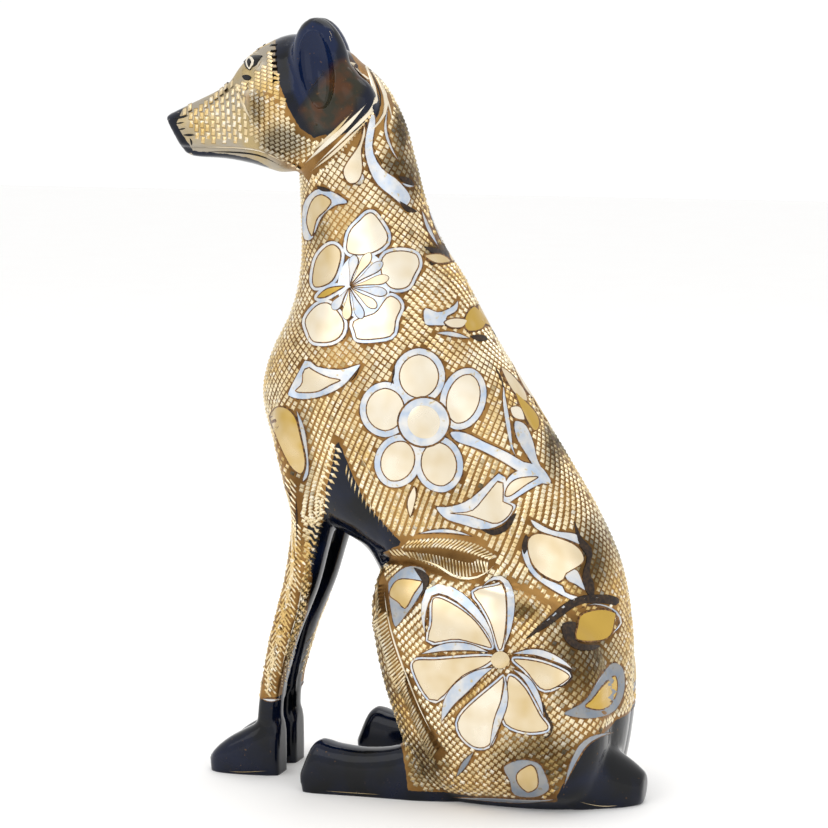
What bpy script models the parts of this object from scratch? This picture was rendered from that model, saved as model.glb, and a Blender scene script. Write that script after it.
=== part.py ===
"""A seated hound, cast in brass as one piece: it faces -X, stands on Z = 0, and its left side faces -Y.

Every figure in the tables is in design millimetres: the size it has on a statue REFERENCE_HEIGHT tall.
HEIGHT sets the real height, and the pose, the profiles and the carving keep their shares of it.
"""

import math

import bmesh
import bpy
import numpy as np
from mathutils import Matrix, Vector

HEIGHT = 0.330
REFERENCE_HEIGHT = 330.0
UNIT = HEIGHT / REFERENCE_HEIGHT

RING_POINTS = 40
RINGS_PER_SPAN = 5

SKIN_VOXEL = 1.1 * UNIT
SMOOTH_STEPS = 10
FACET_SHARE = 0.036

BRASS_COLOUR = (0.80, 0.58, 0.25, 1.0)
BRASS_ROUGHNESS = 0.28

# A station of a form is one of its slices: front x, front z, back x, back z, middle y, half width.
# The slices of the left side's forms have a middle y below zero, and the right side mirrors them.
TRUNK = (
    (20, -8, 82, -8, 0, 27),
    (14, 6, 93, 3, 0, 32),
    (7, 30, 98.5, 22, 0, 37),
    (0, 58, 101, 46, 0, 38.5),
    (-6, 84, 100.5, 72, 0, 38),
    (-15, 102, 96, 98, 0, 36.5),
    (-28, 110, 87, 119, 0, 35.5),
    (-41, 117, 76.5, 137, 0, 36),
    (-51, 130, 65, 155, 0, 37),
    (-58.5, 148, 54, 172, 0, 37),
    (-63, 168, 43.5, 188, 0, 35.5),
    (-59, 186, 34.5, 203, 0, 32),
    (-50, 204, 26, 219, 0, 28),
    (-45.5, 224, 16.5, 233, 0, 24.5),
    (-45.5, 245, 9, 250, 0, 22),
    (-46, 260, 4, 268, 0, 21),
    (-46, 272, -1, 285, 0, 20.5),
    (-44, 290, -9, 300, 0, 18.5),
    (-42, 305, -19, 310, 0, 13),
)
HEAD = (
    (-17, 307, -30, 284, 0, 11),
    (-25, 315, -34, 273, 0, 17),
    (-37, 321, -43, 266, 0, 20.5),
    (-50, 322.5, -53, 263.5, 0, 20.5),
    (-60, 318.8, -60, 265, 0, 18.5),
    (-67, 314.2, -67, 267, 0, 16),
    (-72.5, 308.5, -73, 268.2, 0, 13.6),
    (-77, 302.2, -78, 269, 0, 11.8),
    (-83.5, 298, -84.5, 269.5, 0, 10.2),
    (-91, 294.5, -90.5, 269.7, 0, 8.8),
    (-98.5, 291, -94.5, 270.3, 0, 7.4),
    (-106, 287.5, -97, 271.5, 0, 5.6),
)
SHOULDER = (
    (-42, 186, -26, 188, -19, 5),
    (-49, 172, -23, 176, -19.5, 11),
    (-51.5, 152, -22, 155, -19, 14),
    (-48.5, 134, -22, 134, -17, 13.5),
    (-45.5, 117, -26.5, 117, -14.5, 11),
    (-48, 100, -31.5, 100, -12.5, 9),
    (-51.7, 83, -36.5, 83, -11.5, 8.2),
    (-57.5, 62, -45.2, 62, -11, 7.6),
    (-61.8, 41, -51.8, 41, -11, 7.1),
    (-63.8, 26, -53.5, 26, -11, 7.1),
    (-64.5, 10, -53.5, 10, -11, 7.4),
    (-64.5, -6, -54, -6, -11, 7.4),
)
FOREFOOT = (
    (-53, 24, -53, -6, -11, 6.6),
    (-58, 26, -57, -6, -11.3, 7.6),
    (-64, 22.5, -63, -6, -11.6, 8.4),
    (-71, 18.5, -70, -6, -11.8, 8.7),
    (-77, 15, -77, -6, -12, 8.5),
    (-82.5, 10.6, -82, -5, -12, 7.2),
    (-86, 6.5, -85, -3, -12, 4.5),
)
HAUNCH = (
    (24, -8, 82, -8, -17, 10),
    (18, 2, 90, 2, -18, 17),
    (13, 12, 93.5, 9, -20, 23.5),
    (6, 30, 96, 24, -21, 26.5),
    (-1, 52, 97, 40, -22, 27),
    (-5, 72, 95.5, 58, -22, 27),
    (-5.5, 86, 91, 73, -22, 25.5),
    (-1, 99, 80, 85, -21, 23),
    (9, 107, 66, 95, -20, 19),
    (22, 110, 52, 102, -20, 11),
)
HINDFOOT = (
    (32, 34, 32, -6, -26, 8),
    (18, 27, 18, -6, -28, 9),
    (6, 21.5, 6, -6, -28.8, 8.5),
    (-8, 19.5, -8, -6, -29.6, 8.2),
    (-20, 20.5, -20, -6, -30.4, 8.4),
    (-29.5, 21.5, -29, -6, -31, 8.4),
    (-36, 8, -34, -3, -31.2, 7.2),
)
TAIL = (
    (76, 30, 78, -2, -22, 12),
    (86, 31, 86, -4, -20, 13),
    (96, 25, 95, -4, -15, 12),
    (104, 18.5, 103, -4, -11, 10),
    (110.5, 12.5, 109.5, 0, -9, 6),
)
# The far hind foot was set down a little further back than the near one.
FAR_HINDFOOT_BACK = 4.5

# How square the slices of a form are: 2 is an ellipse, and more fills out the corners.
SQUARENESS = {"trunk": 2.1, "head": 2.3, "leg": 2.5, "foot": 3.2, "haunch": 2.5, "tail": 2.1}

# An ear is a cup: an upright shell with a lobe behind it, hollowed from its outer side.
# Each row is a ball: centre x, y, z, and half its length along x, y and z.
EAR_BALLS = (
    (-34, -15.5, 308, 12.5, 9, 22),
    (-28, -16, 296, 13, 9.5, 17),
    (-22, -15.5, 293, 12, 8.5, 13),
)
EAR_HOLLOW = (-35, -26, 309, 8.5, 8, 18.5)
EAR_LEAN = math.radians(-8)
FAR_EAR_FORWARD = 5.0

# The head looks a little to its left, turned about the top of the neck.
HEAD_TURN = math.radians(8)
HEAD_PIVOT = (-32, 0, 0)
NECK_BELOW = 255
NECK_ABOVE = 272


# The chasing that shows from a step away, in side view as x and z. The right side mirrors the left.
# A flower: centre x and z, number of petals, the turn of the first in degrees, how far out a petal's
# middle is, its half length and half width, and the radius of the button in the centre.
FLOWERS = (
    (-18, 222, 5, 70, 13.5, 9, 8, 3.5),
    (21.5, 162, 5, 97, 15.5, 9.2, 8.6, 7),
    (57.5, 67.5, 6, 100, 16, 14, 8, 4),
)
PETAL_HEIGHT = 0.9

# A leaf: stalk x and z, tip x and z, half width, and how far its middle bends to one side.
LEAVES = (
    (-4, 194, -41, 170, 7, 2),
    (-51, 170, -34, 141, 5.5, -2),
    (64, 143, 27, 122, 6.5, -3),
    (60, 92, 83, 118, 9, 3),
    (84, 72, 94, 88, 6, -2),
    (78, 42, 93, 60, 5.5, 2),
    (56, 20, 76, 16, 4.5, 2),
    (5, 84, 21, 97, 5, 2),
    (-12, 282, 2, 254, 5, 3),
    (-40, 254, -22, 240, 5, 2),
    (22, 202, 34, 186, 4.5, 2),
    (42, 174, 52, 152, 4.5, 2),
)
LEAF_HEIGHT = 0.8

# A bead or a groove: its height, its half width, and the points it runs through, as x and z.
BEADS = {
    "lip": (0.8, 1.4, ((-97, 276.5), (-90, 276), (-75, 276.5), (-60, 275), (-52, 271.5), (-44, 266))),
    "mouth": (-1.2, 1.5, ((-97, 273), (-90, 272.8), (-75, 273), (-60, 271.5), (-52, 268.5), (-45, 263))),
    "brow": (0.9, 1.5, ((-68.5, 307), (-67, 298), (-64.5, 289), (-61, 283))),
    "collar": (1.3, 1.6, ((-22, 318), (-11, 303), (-9, 293), (-16, 284.5), (-28, 275), (-42, 263.5))),
    "knee": (1.0, 1.5, ((0, 100), (1, 86), (5, 68), (14.5, 50), (23.5, 31), (30, 18))),
    "shin": (1.0, 1.4, ((-38, 100), (-43, 80), (-48.5, 61), (-54, 34))),
    "fold": (1.8, 4.2, ((4, 106.5), (20, 110.5), (36, 108), (50, 102))),
    "crease": (-1.4, 2.2, ((0, 101), (12, 104.5), (28, 101.5), (44, 97), (58, 96))),
}
EYE = (-63.5, 310.3, 3.4, 2.1, math.radians(20))
EYE_HEIGHT = 1.1

# Chasing fades out where the skin turns away from the side: from this share of the normal to that.
SIDE_FADE = (0.25, 0.6)


def flowing_rows(rows, per_span=RINGS_PER_SPAN):
    """Rows of a table joined by a Catmull-Rom spline, per_span steps to each span."""
    table = np.array(rows, float)
    padded = np.vstack([2 * table[0] - table[1], table, 2 * table[-1] - table[-2]])
    before, start, end, after = (padded[i : len(padded) - 3 + i] for i in range(4))
    steps = (np.arange(per_span) / per_span)[:, None, None]
    spline = 0.5 * (
        2 * start
        + (end - before) * steps
        + (2 * before - 5 * start + 4 * end - after) * steps**2
        + (3 * start - before - 3 * end + after) * steps**3
    )
    inner = spline.transpose(1, 0, 2).reshape(-1, table.shape[1])
    return np.vstack([inner, table[-1]])


def add_loft(bm, stations, squareness, side=-1, shift=0.0):
    """A closed form through its slices, each a superellipse from the front point to the back point."""
    made = []
    angles = np.linspace(0, 2 * math.pi, RING_POINTS, endpoint=False)
    power = 2 / squareness
    along = np.sign(np.cos(angles)) * np.abs(np.cos(angles)) ** power
    aside = np.sign(np.sin(angles)) * np.abs(np.sin(angles)) ** power
    rings = []
    for front_x, front_z, back_x, back_z, middle_y, half_width in flowing_rows(stations):
        x = shift + (front_x + back_x) / 2 + along * (back_x - front_x) / 2
        y = -side * (middle_y + aside * half_width)
        z = (front_z + back_z) / 2 + along * (back_z - front_z) / 2
        rings.append([bm.verts.new(Vector(point) * UNIT) for point in zip(x, y, z)])
        made += rings[-1]
    for ring, following in zip(rings, rings[1:]):
        for i in range(RING_POINTS):
            j = (i + 1) % RING_POINTS
            bm.faces.new((ring[i], ring[j], following[j], following[i]))
    bm.faces.new(rings[0][::-1])
    bm.faces.new(rings[-1])
    return made


def add_ball(bm, row, lean=0.0, side=-1, shift=0.0):
    """An ellipsoid of the row's centre and half lengths, leant about its own centre."""
    x, y, z, half_x, half_y, half_z = row
    place = Matrix.Translation(Vector((x + shift, -side * y, z)) * UNIT)
    size = Matrix.Diagonal(Vector((half_x * UNIT, half_y * UNIT, half_z * UNIT, 1)))
    turn = Matrix.Rotation(lean, 4, "Y")
    ball = bmesh.ops.create_uvsphere(bm, u_segments=32, v_segments=20, radius=1, matrix=place @ turn @ size)
    return ball["verts"]


def turn_with_head(bm, verts):
    """Turns points of the head and ears about the top of the neck."""
    pivot = Vector(HEAD_PIVOT) * UNIT
    bmesh.ops.rotate(bm, verts=verts, cent=pivot, matrix=Matrix.Rotation(HEAD_TURN, 3, "Z"))


def object_of(name, bm):
    """A new object that holds the bmesh, with its faces turned outward."""
    bmesh.ops.recalc_face_normals(bm, faces=bm.faces)
    mesh = bpy.data.meshes.new(name)
    bm.to_mesh(mesh)
    bm.free()
    made = bpy.data.objects.new(name, mesh)
    bpy.context.scene.collection.objects.link(made)
    return made


def cutter_of(name, bm):
    """An object that only cuts: it is drawn as wire and never rendered."""
    cutter = object_of(name, bm)
    cutter.display_type = "WIRE"
    cutter.hide_render = True
    return cutter


def rough_forms():
    """Every form of the dog as its own closed shell, all overlapping."""
    bm = bmesh.new()
    add_loft(bm, TRUNK, SQUARENESS["trunk"])
    head = add_loft(bm, HEAD, SQUARENESS["head"])
    add_loft(bm, TAIL, SQUARENESS["tail"])
    for side in (-1, 1):
        add_loft(bm, SHOULDER, SQUARENESS["leg"], side)
        add_loft(bm, FOREFOOT, SQUARENESS["foot"], side)
        add_loft(bm, HAUNCH, SQUARENESS["haunch"], side)
        add_loft(bm, HINDFOOT, SQUARENESS["foot"], side, FAR_HINDFOOT_BACK * (side > 0))
        for ball in EAR_BALLS:
            head += add_ball(bm, ball, EAR_LEAN, side, -FAR_EAR_FORWARD * (side > 0))
    turn_with_head(bm, head)
    return object_of("rough_forms", bm)


def evaluated_copy(source, name):
    """A new object whose mesh is the source's, with its modifiers done. The source is removed."""
    graph = bpy.context.evaluated_depsgraph_get()
    mesh = bpy.data.meshes.new_from_object(source.evaluated_get(graph))
    copy = bpy.data.objects.new(name, mesh)
    bpy.context.scene.collection.objects.link(copy)
    bpy.data.objects.remove(source)
    return copy


def fused_skin():
    """The forms run together into one skin, as clay is worked before it is cast."""
    rough = rough_forms()
    fuse = rough.modifiers.new("fuse", "REMESH")
    fuse.mode = "VOXEL"
    fuse.voxel_size = SKIN_VOXEL
    soften = rough.modifiers.new("soften", "SMOOTH")
    soften.factor = 0.5
    soften.iterations = SMOOTH_STEPS
    return evaluated_copy(rough, "fused_skin")


def plateau(inside, edge):
    """0 outside a shape and 1 within it, with a ramp edge wide where inside passes zero."""
    return np.clip(0.5 + inside / edge, 0, 1)


def ellipse_inside(along, aside, half_length, half_width):
    """Roughly how far a point is inside an ellipse, in millimetres."""
    reach = np.hypot(along / half_length, aside / half_width)
    return (1 - reach) * min(half_length, half_width)


def flower_relief(x, z, flower):
    """Petals as ellipses set round a button."""
    centre_x, centre_z, petals, turn, middle, half_length, half_width, button = flower
    inside = button - np.hypot(x - centre_x, z - centre_z)
    for i in range(petals):
        angle = math.radians(turn + 360 * i / petals)
        along = (x - centre_x) * math.cos(angle) + (z - centre_z) * math.sin(angle) - middle
        aside = (z - centre_z) * math.cos(angle) - (x - centre_x) * math.sin(angle)
        inside = np.maximum(inside, ellipse_inside(along, aside, half_length, half_width))
    return PETAL_HEIGHT * plateau(inside, 1.2)


def leaf_relief(x, z, leaf):
    """A leaf as wide as a sine from stalk to tip, its middle line bent as a parabola."""
    stalk_x, stalk_z, tip_x, tip_z, half_width, bend = leaf
    length = math.hypot(tip_x - stalk_x, tip_z - stalk_z)
    ahead = ((tip_x - stalk_x) / length, (tip_z - stalk_z) / length)
    share = ((x - stalk_x) * ahead[0] + (z - stalk_z) * ahead[1]) / length
    aside = (z - stalk_z) * ahead[0] - (x - stalk_x) * ahead[1]
    aside = aside - 4 * bend * share * (1 - share)
    width = half_width * np.sin(math.pi * np.clip(share, 0, 1))
    return LEAF_HEIGHT * plateau(width - np.abs(aside), 1.2) * (width > 0)


def bead_relief(x, z, bead):
    """A raised bead, or a groove where its height is below zero, with a round section."""
    height, half_width, path = bead
    points = flowing_rows(path, 6)
    distance = np.full(len(x), np.inf)
    for start, end in zip(points, points[1:]):
        step = end - start
        share = np.clip(((x - start[0]) * step[0] + (z - start[1]) * step[1]) / (step @ step), 0, 1)
        off = np.hypot(x - start[0] - share * step[0], z - start[1] - share * step[1])
        distance = np.minimum(distance, off)
    return height * np.exp(-((distance / half_width) ** 2))


def eye_relief(x, z):
    """An almond, tilted up towards the ear."""
    centre_x, centre_z, half_length, half_width, tilt = EYE
    along = (x - centre_x) * math.cos(tilt) + (z - centre_z) * math.sin(tilt)
    aside = (z - centre_z) * math.cos(tilt) - (x - centre_x) * math.sin(tilt)
    return EYE_HEIGHT * plateau(ellipse_inside(along, aside, half_length, half_width), 1.2)


def head_unturned(points, share):
    """The points with the head's turn taken back, by each point's share of it."""
    angle = -HEAD_TURN * share
    x = points[:, 0] - HEAD_PIVOT[0]
    y = points[:, 1] - HEAD_PIVOT[1]
    turned = points.copy()
    turned[:, 0] = HEAD_PIVOT[0] + x * np.cos(angle) - y * np.sin(angle)
    turned[:, 1] = HEAD_PIVOT[1] + x * np.sin(angle) + y * np.cos(angle)
    return turned


def chase(skin):
    """Raises the flowers, leaves and beads on the skin, along its normals."""
    mesh = skin.data
    count = len(mesh.vertices)
    points = np.empty(count * 3, np.float32)
    normals = np.empty(count * 3, np.float32)
    mesh.vertices.foreach_get("co", points)
    mesh.vertex_normals.foreach_get("vector", normals)
    points = points.reshape(-1, 3).astype(float) / UNIT
    normals = normals.reshape(-1, 3).astype(float)
    on_head = np.clip((points[:, 2] - NECK_BELOW) / (NECK_ABOVE - NECK_BELOW), 0, 1)
    flat = head_unturned(points, on_head)
    x, z = flat[:, 0], flat[:, 2]
    relief = np.zeros(count)
    for flower in FLOWERS:
        relief = np.maximum(relief, flower_relief(x, z, flower))
    for leaf in LEAVES:
        relief = np.maximum(relief, leaf_relief(x, z, leaf))
    for bead in BEADS.values():
        relief += bead_relief(x, z, bead)
    relief += eye_relief(x, z)
    sideways = np.clip((np.abs(normals[:, 1]) - SIDE_FADE[0]) / (SIDE_FADE[1] - SIDE_FADE[0]), 0, 1)
    points += normals * (relief * sideways)[:, None]
    mesh.vertices.foreach_set("co", (points * UNIT).astype(np.float32).ravel())
    mesh.update()


def stand_over_origin(statue):
    """Moves the mesh so that the origin is under the middle of the statue's box."""
    count = len(statue.data.vertices)
    points = np.empty(count * 3, np.float32)
    statue.data.vertices.foreach_get("co", points)
    points = points.reshape(-1, 3)
    middle = (points.min(axis=0) + points.max(axis=0)) / 2
    statue.data.transform(Matrix.Translation((-middle[0], -middle[1], 0)))


def cut(target, cutter):
    """Takes the cutter's shape away from the target."""
    difference = target.modifiers.new(cutter.name, "BOOLEAN")
    difference.operation = "DIFFERENCE"
    difference.solver = "EXACT"
    difference.object = cutter


def ear_hollows():
    """One cutter for the cups of both ears."""
    bm = bmesh.new()
    for side in (-1, 1):
        hollow = add_ball(bm, EAR_HOLLOW, EAR_LEAN, side, -FAR_EAR_FORWARD * (side > 0))
        turn_with_head(bm, hollow)
    return cutter_of("ear_hollows", bm)


def ground_block():
    """A cutter whose top face is the ground, which leaves the underside flat."""
    bm = bmesh.new()
    reach = REFERENCE_HEIGHT * UNIT
    place = Matrix.Translation((0, 0, -reach / 2))
    bmesh.ops.create_cube(bm, size=reach, matrix=place)
    return cutter_of("ground_block", bm)


def brass():
    material = bpy.data.materials.new("cast_brass")
    material.use_nodes = True
    shader = material.node_tree.nodes["Principled BSDF"]
    shader.inputs["Base Color"].default_value = BRASS_COLOUR
    shader.inputs["Metallic"].default_value = 1.0
    shader.inputs["Roughness"].default_value = BRASS_ROUGHNESS
    return material


def build():
    for old in list(bpy.data.objects):
        bpy.data.objects.remove(old)
    skin = fused_skin()
    chase(skin)
    cut(skin, ear_hollows())
    facets = skin.modifiers.new("facets", "DECIMATE")
    facets.ratio = FACET_SHARE
    cut(skin, ground_block())
    dog = evaluated_copy(skin, "brass_dog")
    stand_over_origin(dog)
    dog.data.materials.clear()
    dog.data.materials.append(brass())
    dog.data.shade_smooth()


build()
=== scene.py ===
# %% [markdown]
# # A seated hound in chased brass
# The real statue is one hollow brass casting. A chaser punches a ground of small studs all over it,
# lets flowers and leaves stand smooth, silvers their borders and lacquers the ears, nose, feet and tail black.
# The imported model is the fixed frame, so everything here is in its metres and its axes.
# The dog faces -X, its left side faces -Y, and it stands on Z = 0.

import math

import bmesh
import bpy
import numpy as np
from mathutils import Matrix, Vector
from mathutils.bvhtree import BVHTree


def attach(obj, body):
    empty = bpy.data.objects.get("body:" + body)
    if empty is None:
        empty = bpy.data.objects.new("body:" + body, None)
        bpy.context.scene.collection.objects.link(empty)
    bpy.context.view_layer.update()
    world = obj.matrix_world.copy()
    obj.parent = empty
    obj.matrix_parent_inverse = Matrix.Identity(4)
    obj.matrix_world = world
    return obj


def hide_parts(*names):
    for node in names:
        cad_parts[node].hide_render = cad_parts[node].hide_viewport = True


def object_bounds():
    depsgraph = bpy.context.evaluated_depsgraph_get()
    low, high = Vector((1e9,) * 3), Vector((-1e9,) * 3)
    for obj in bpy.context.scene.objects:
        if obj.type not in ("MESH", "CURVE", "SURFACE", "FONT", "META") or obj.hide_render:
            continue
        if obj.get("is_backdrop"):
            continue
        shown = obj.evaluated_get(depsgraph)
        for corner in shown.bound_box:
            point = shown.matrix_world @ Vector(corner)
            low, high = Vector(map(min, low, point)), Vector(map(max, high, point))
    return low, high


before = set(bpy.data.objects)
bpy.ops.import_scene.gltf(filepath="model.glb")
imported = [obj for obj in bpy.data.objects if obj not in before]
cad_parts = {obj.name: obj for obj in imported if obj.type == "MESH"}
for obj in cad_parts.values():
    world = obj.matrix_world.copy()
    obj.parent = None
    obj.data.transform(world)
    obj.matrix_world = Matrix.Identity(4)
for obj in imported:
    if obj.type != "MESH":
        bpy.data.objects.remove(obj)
cad_low, cad_high = (np.array(corner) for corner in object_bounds())
MILLIMETRE = 0.001
print("CAD box in mm", np.round(cad_low / MILLIMETRE, 2), np.round(cad_high / MILLIMETRE, 2))

# %% [markdown]
# ## The camera
# The picture was taken from a little behind the dog's left side and a little above its middle.
# A long lens from over a metre away keeps the legs and the head in the proportions that the picture shows.

# %% The camera
AZIMUTH = math.radians(18)
ELEVATION = math.radians(8)
STAND_BACK = 1.2
AIM = np.array((0.0015, 0.0, 0.1605))
PICTURE = 828  # pixels each way
PIXELS_PER_METRE = 2324  # in the picture, at the distance of the aim
FOCAL_PIXELS = PIXELS_PER_METRE * STAND_BACK
SENSOR = 36.0

toward_eye = np.array(
    (
        math.sin(AZIMUTH) * math.cos(ELEVATION),
        -math.cos(AZIMUTH) * math.cos(ELEVATION),
        math.sin(ELEVATION),
    )
)
eye = AIM + toward_eye * STAND_BACK
to_right = np.array((math.cos(AZIMUTH), math.sin(AZIMUTH), 0.0))
to_top = np.cross(toward_eye, to_right)

camera = bpy.data.objects.new("camera", bpy.data.cameras.new("camera"))
camera.data.sensor_width = SENSOR
camera.data.lens = FOCAL_PIXELS * SENSOR / PICTURE
camera.location = eye
camera.rotation_euler = Vector(toward_eye).to_track_quat("Z", "Y").to_euler()
bpy.context.scene.collection.objects.link(camera)
bpy.context.scene.camera = camera
print("lens", round(camera.data.lens, 1), "mm")

# %% [markdown]
# ## The forms under the skin
# A sculptor builds a hound from simple masses: the barrel, the head, the shoulders, the haunches, the feet.
# Each mass here is a loft: closed slices set along a line, every slice a superellipse.
# The tables give each slice in millimetres as front x, front z, back x, back z, middle y, half width.
# They are the same masses as those of the solid, so the dressed dog keeps its outline.

# %% Tables of the forms
RING_POINTS = 48
BALL_RINGS, POLE_GAP = 22, 0.03
TRUNK_SQUARENESS, HEAD_SQUARENESS, LEG_SQUARENESS, FOOT_SQUARENESS = 2.1, 2.3, 2.5, 3.2
TRUNK = (
    (20, -8, 82, -8, 0, 27),
    (14, 6, 93, 3, 0, 32),
    (7, 30, 98.5, 22, 0, 37),
    (0, 58, 101, 46, 0, 38.5),
    (-6, 84, 100.5, 72, 0, 38),
    (-15, 102, 96, 98, 0, 36.5),
    (-28, 110, 87, 119, 0, 35.5),
    (-41, 117, 76.5, 137, 0, 36),
    (-51, 130, 65, 155, 0, 37),
    (-58.5, 148, 54, 172, 0, 37),
    (-63, 168, 43.5, 188, 0, 35.5),
    (-59, 186, 34.5, 203, 0, 32),
    (-50, 204, 26, 219, 0, 28),
    (-45.5, 224, 16.5, 233, 0, 24.5),
    (-45.5, 245, 9, 250, 0, 22),
    (-46, 260, 4, 268, 0, 21),
    (-46, 272, -1, 285, 0, 20.5),
    (-44, 290, -9, 300, 0, 18.5),
    (-42, 305, -19, 310, 0, 13),
)
HEAD = (
    (-17, 307, -30, 284, 0, 11),
    (-25, 315, -34, 273, 0, 17),
    (-37, 321, -43, 266, 0, 20.5),
    (-50, 322.5, -53, 263.5, 0, 20.5),
    (-60, 318.8, -60, 265, 0, 18.5),
    (-67, 314.2, -67, 267, 0, 16),
    (-72.5, 308.5, -73, 268.2, 0, 13.6),
    (-77, 302.2, -78, 269, 0, 11.8),
    (-83.5, 298, -84.5, 269.5, 0, 10.2),
    (-91, 294.5, -90.5, 269.7, 0, 8.8),
    (-98.5, 291, -94.5, 270.3, 0, 7.4),
    (-106, 287.5, -97, 271.5, 0, 5.6),
)
FORELEG = (
    (-42, 186, -26, 188, -19, 5),
    (-49, 172, -23, 176, -19.5, 11),
    (-51.5, 152, -22, 155, -19, 14),
    (-48.5, 134, -22, 134, -17, 13.5),
    (-45.5, 117, -26.5, 117, -14.5, 11),
    (-48, 100, -31.5, 100, -12.5, 9),
    (-51.7, 83, -36.5, 83, -11.5, 8.2),
    (-57.5, 62, -45.2, 62, -11, 7.6),
    (-61.8, 41, -51.8, 41, -11, 7.1),
    (-63.8, 26, -53.5, 26, -11, 7.1),
    (-64.5, 10, -53.5, 10, -11, 7.4),
    (-64.5, -6, -54, -6, -11, 7.4),
)
FOREFOOT = (
    (-53, 24, -53, -6, -11, 6.6),
    (-58, 26, -57, -6, -11.3, 7.6),
    (-64, 22.5, -63, -6, -11.6, 8.4),
    (-71, 18.5, -70, -6, -11.8, 8.7),
    (-77, 15, -77, -6, -12, 8.5),
    (-82.5, 10.6, -82, -5, -12, 7.2),
    (-86, 6.5, -85, -3, -12, 4.5),
)
HAUNCH = (
    (24, -8, 82, -8, -17, 10),
    (18, 2, 90, 2, -18, 17),
    (13, 12, 93.5, 9, -20, 23.5),
    (6, 30, 96, 24, -21, 26.5),
    (-1, 52, 97, 40, -22, 27),
    (-5, 72, 95.5, 58, -22, 27),
    (-5.5, 86, 91, 73, -22, 25.5),
    (-1, 99, 80, 85, -21, 23),
    (9, 107, 66, 95, -20, 19),
    (22, 110, 52, 102, -20, 11),
)
HINDFOOT = (
    (32, 34, 32, -6, -26, 8),
    (18, 27, 18, -6, -28, 9),
    (6, 21.5, 6, -6, -28.8, 8.5),
    (-8, 19.5, -8, -6, -29.6, 8.2),
    (-20, 20.5, -20, -6, -30.4, 8.4),
    (-29.5, 21.5, -29, -6, -31, 8.4),
    (-36, 8, -34, -3, -31.2, 7.2),
)
TAIL = (
    (76, 30, 78, -2, -22, 12),
    (86, 31, 86, -4, -20, 13),
    (96, 25, 95, -4, -15, 12),
    (104, 18.5, 103, -4, -11, 10),
    (110.5, 12.5, 109.5, 0, -9, 6),
)
FAR_HINDFOOT_BACK = 4.5
# Each ball is its middle x, y, z and its three half sizes.
EAR_BALLS = (
    (-34, -15.5, 308, 12.5, 9, 22),
    (-28, -16, 296, 13, 9.5, 17),
    (-22, -15.5, 293, 12, 8.5, 13),
)
EAR_HOLLOW = (-35, -26, 309, 8.5, 8, 18.5)
EAR_LEAN = math.radians(-8)
FAR_EAR_FORWARD = 5.0
HEAD_TURN = math.radians(8)
HEAD_PIVOT = np.array((-32.0, 0.0, 0.0))
NECK_BELOW, NECK_ABOVE = 255, 272  # below the first the neck isn't turned, above the second it is turned wholly

# %% [markdown]
# ### Smooth lines
# A fair line runs through a few marks without a kink. A spline through the marks themselves keeps the tables short,
# and the same one serves the forms, the outlines of the leaves and the lines of the chisel.


# %% Smooth lines through a few points
def flowing(points, per_span=6, closed=False):
    """Catmull-Rom: between two points the line is the cubic whose slope at each end runs along its neighbours."""
    table = np.array(points, float)
    if closed:
        padded = np.vstack([table[-1:], table, table[:2]])
    else:
        padded = np.vstack([2 * table[0] - table[1], table, 2 * table[-1] - table[-2]])
    before, start, end, after = (padded[i : len(padded) - 3 + i] for i in range(4))
    steps = (np.arange(per_span) / per_span)[:, None, None]
    spline = 0.5 * (
        2 * start
        + (end - before) * steps
        + (2 * before - 5 * start + 4 * end - after) * steps**2
        + (3 * start - before - 3 * end + after) * steps**3
    )
    inner = spline.transpose(1, 0, 2).reshape(-1, table.shape[1])
    return inner if closed else np.vstack([inner, table[-1]])


# %% [markdown]
# ### Slices into closed shells
# Each table becomes a grid, slice by slice and round each slice, and the grid becomes a shell with a lid at each end.
# The head's shells are turned about the top of the neck, because the real head looks a little to its left.


# %% Lofts and balls as grids
def loft_rings(table, squareness, side=-1, shift=0.0, per_span=5):
    """Rings of a form: middle + cos^(2/n) along the slice + sin^(2/n) across it, n being the squareness."""
    rows = flowing(table, per_span)
    angles = np.linspace(0, 2 * math.pi, RING_POINTS, endpoint=False)
    power = 2 / squareness
    along = np.sign(np.cos(angles)) * np.abs(np.cos(angles)) ** power
    aside = np.sign(np.sin(angles)) * np.abs(np.sin(angles)) ** power
    front_x, front_z, back_x, back_z, middle_y, half_width = (rows[:, i, None] for i in range(6))
    x = shift + (front_x + back_x) / 2 + along * (back_x - front_x) / 2
    y = -side * (middle_y + aside * half_width)
    z = (front_z + back_z) / 2 + along * (back_z - front_z) / 2
    return np.stack([x, y, z], axis=2)


def ball_rings(row, side=-1, shift=0.0):
    """Rings of an ellipsoid: half sizes times (sin p cos t, sin p sin t, -cos p), then leant about its middle."""
    x, y, z, half_x, half_y, half_z = row
    polar, round_it = np.meshgrid(
        np.linspace(POLE_GAP, math.pi - POLE_GAP, BALL_RINGS),
        np.linspace(0, 2 * math.pi, RING_POINTS, endpoint=False),
        indexing="ij",
    )
    flat_x = half_x * np.sin(polar) * np.cos(round_it)
    flat_z = -half_z * np.cos(polar)
    lean_x = flat_x * math.cos(EAR_LEAN) + flat_z * math.sin(EAR_LEAN)
    lean_z = flat_z * math.cos(EAR_LEAN) - flat_x * math.sin(EAR_LEAN)
    lean_y = half_y * np.sin(polar) * np.sin(round_it)
    return np.stack([x + shift + lean_x, -side * y + lean_y, z + lean_z], axis=2)


def turned(points, share=1.0):
    """Points turned with the head about the top of the neck, by their share of the turn."""
    angle = HEAD_TURN * share
    x = points[..., 0] - HEAD_PIVOT[0]
    y = points[..., 1] - HEAD_PIVOT[1]
    return np.stack(
        [
            HEAD_PIVOT[0] + x * np.cos(angle) - y * np.sin(angle),
            HEAD_PIVOT[1] + x * np.sin(angle) + y * np.cos(angle),
            points[..., 2],
        ],
        axis=-1,
    )


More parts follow.
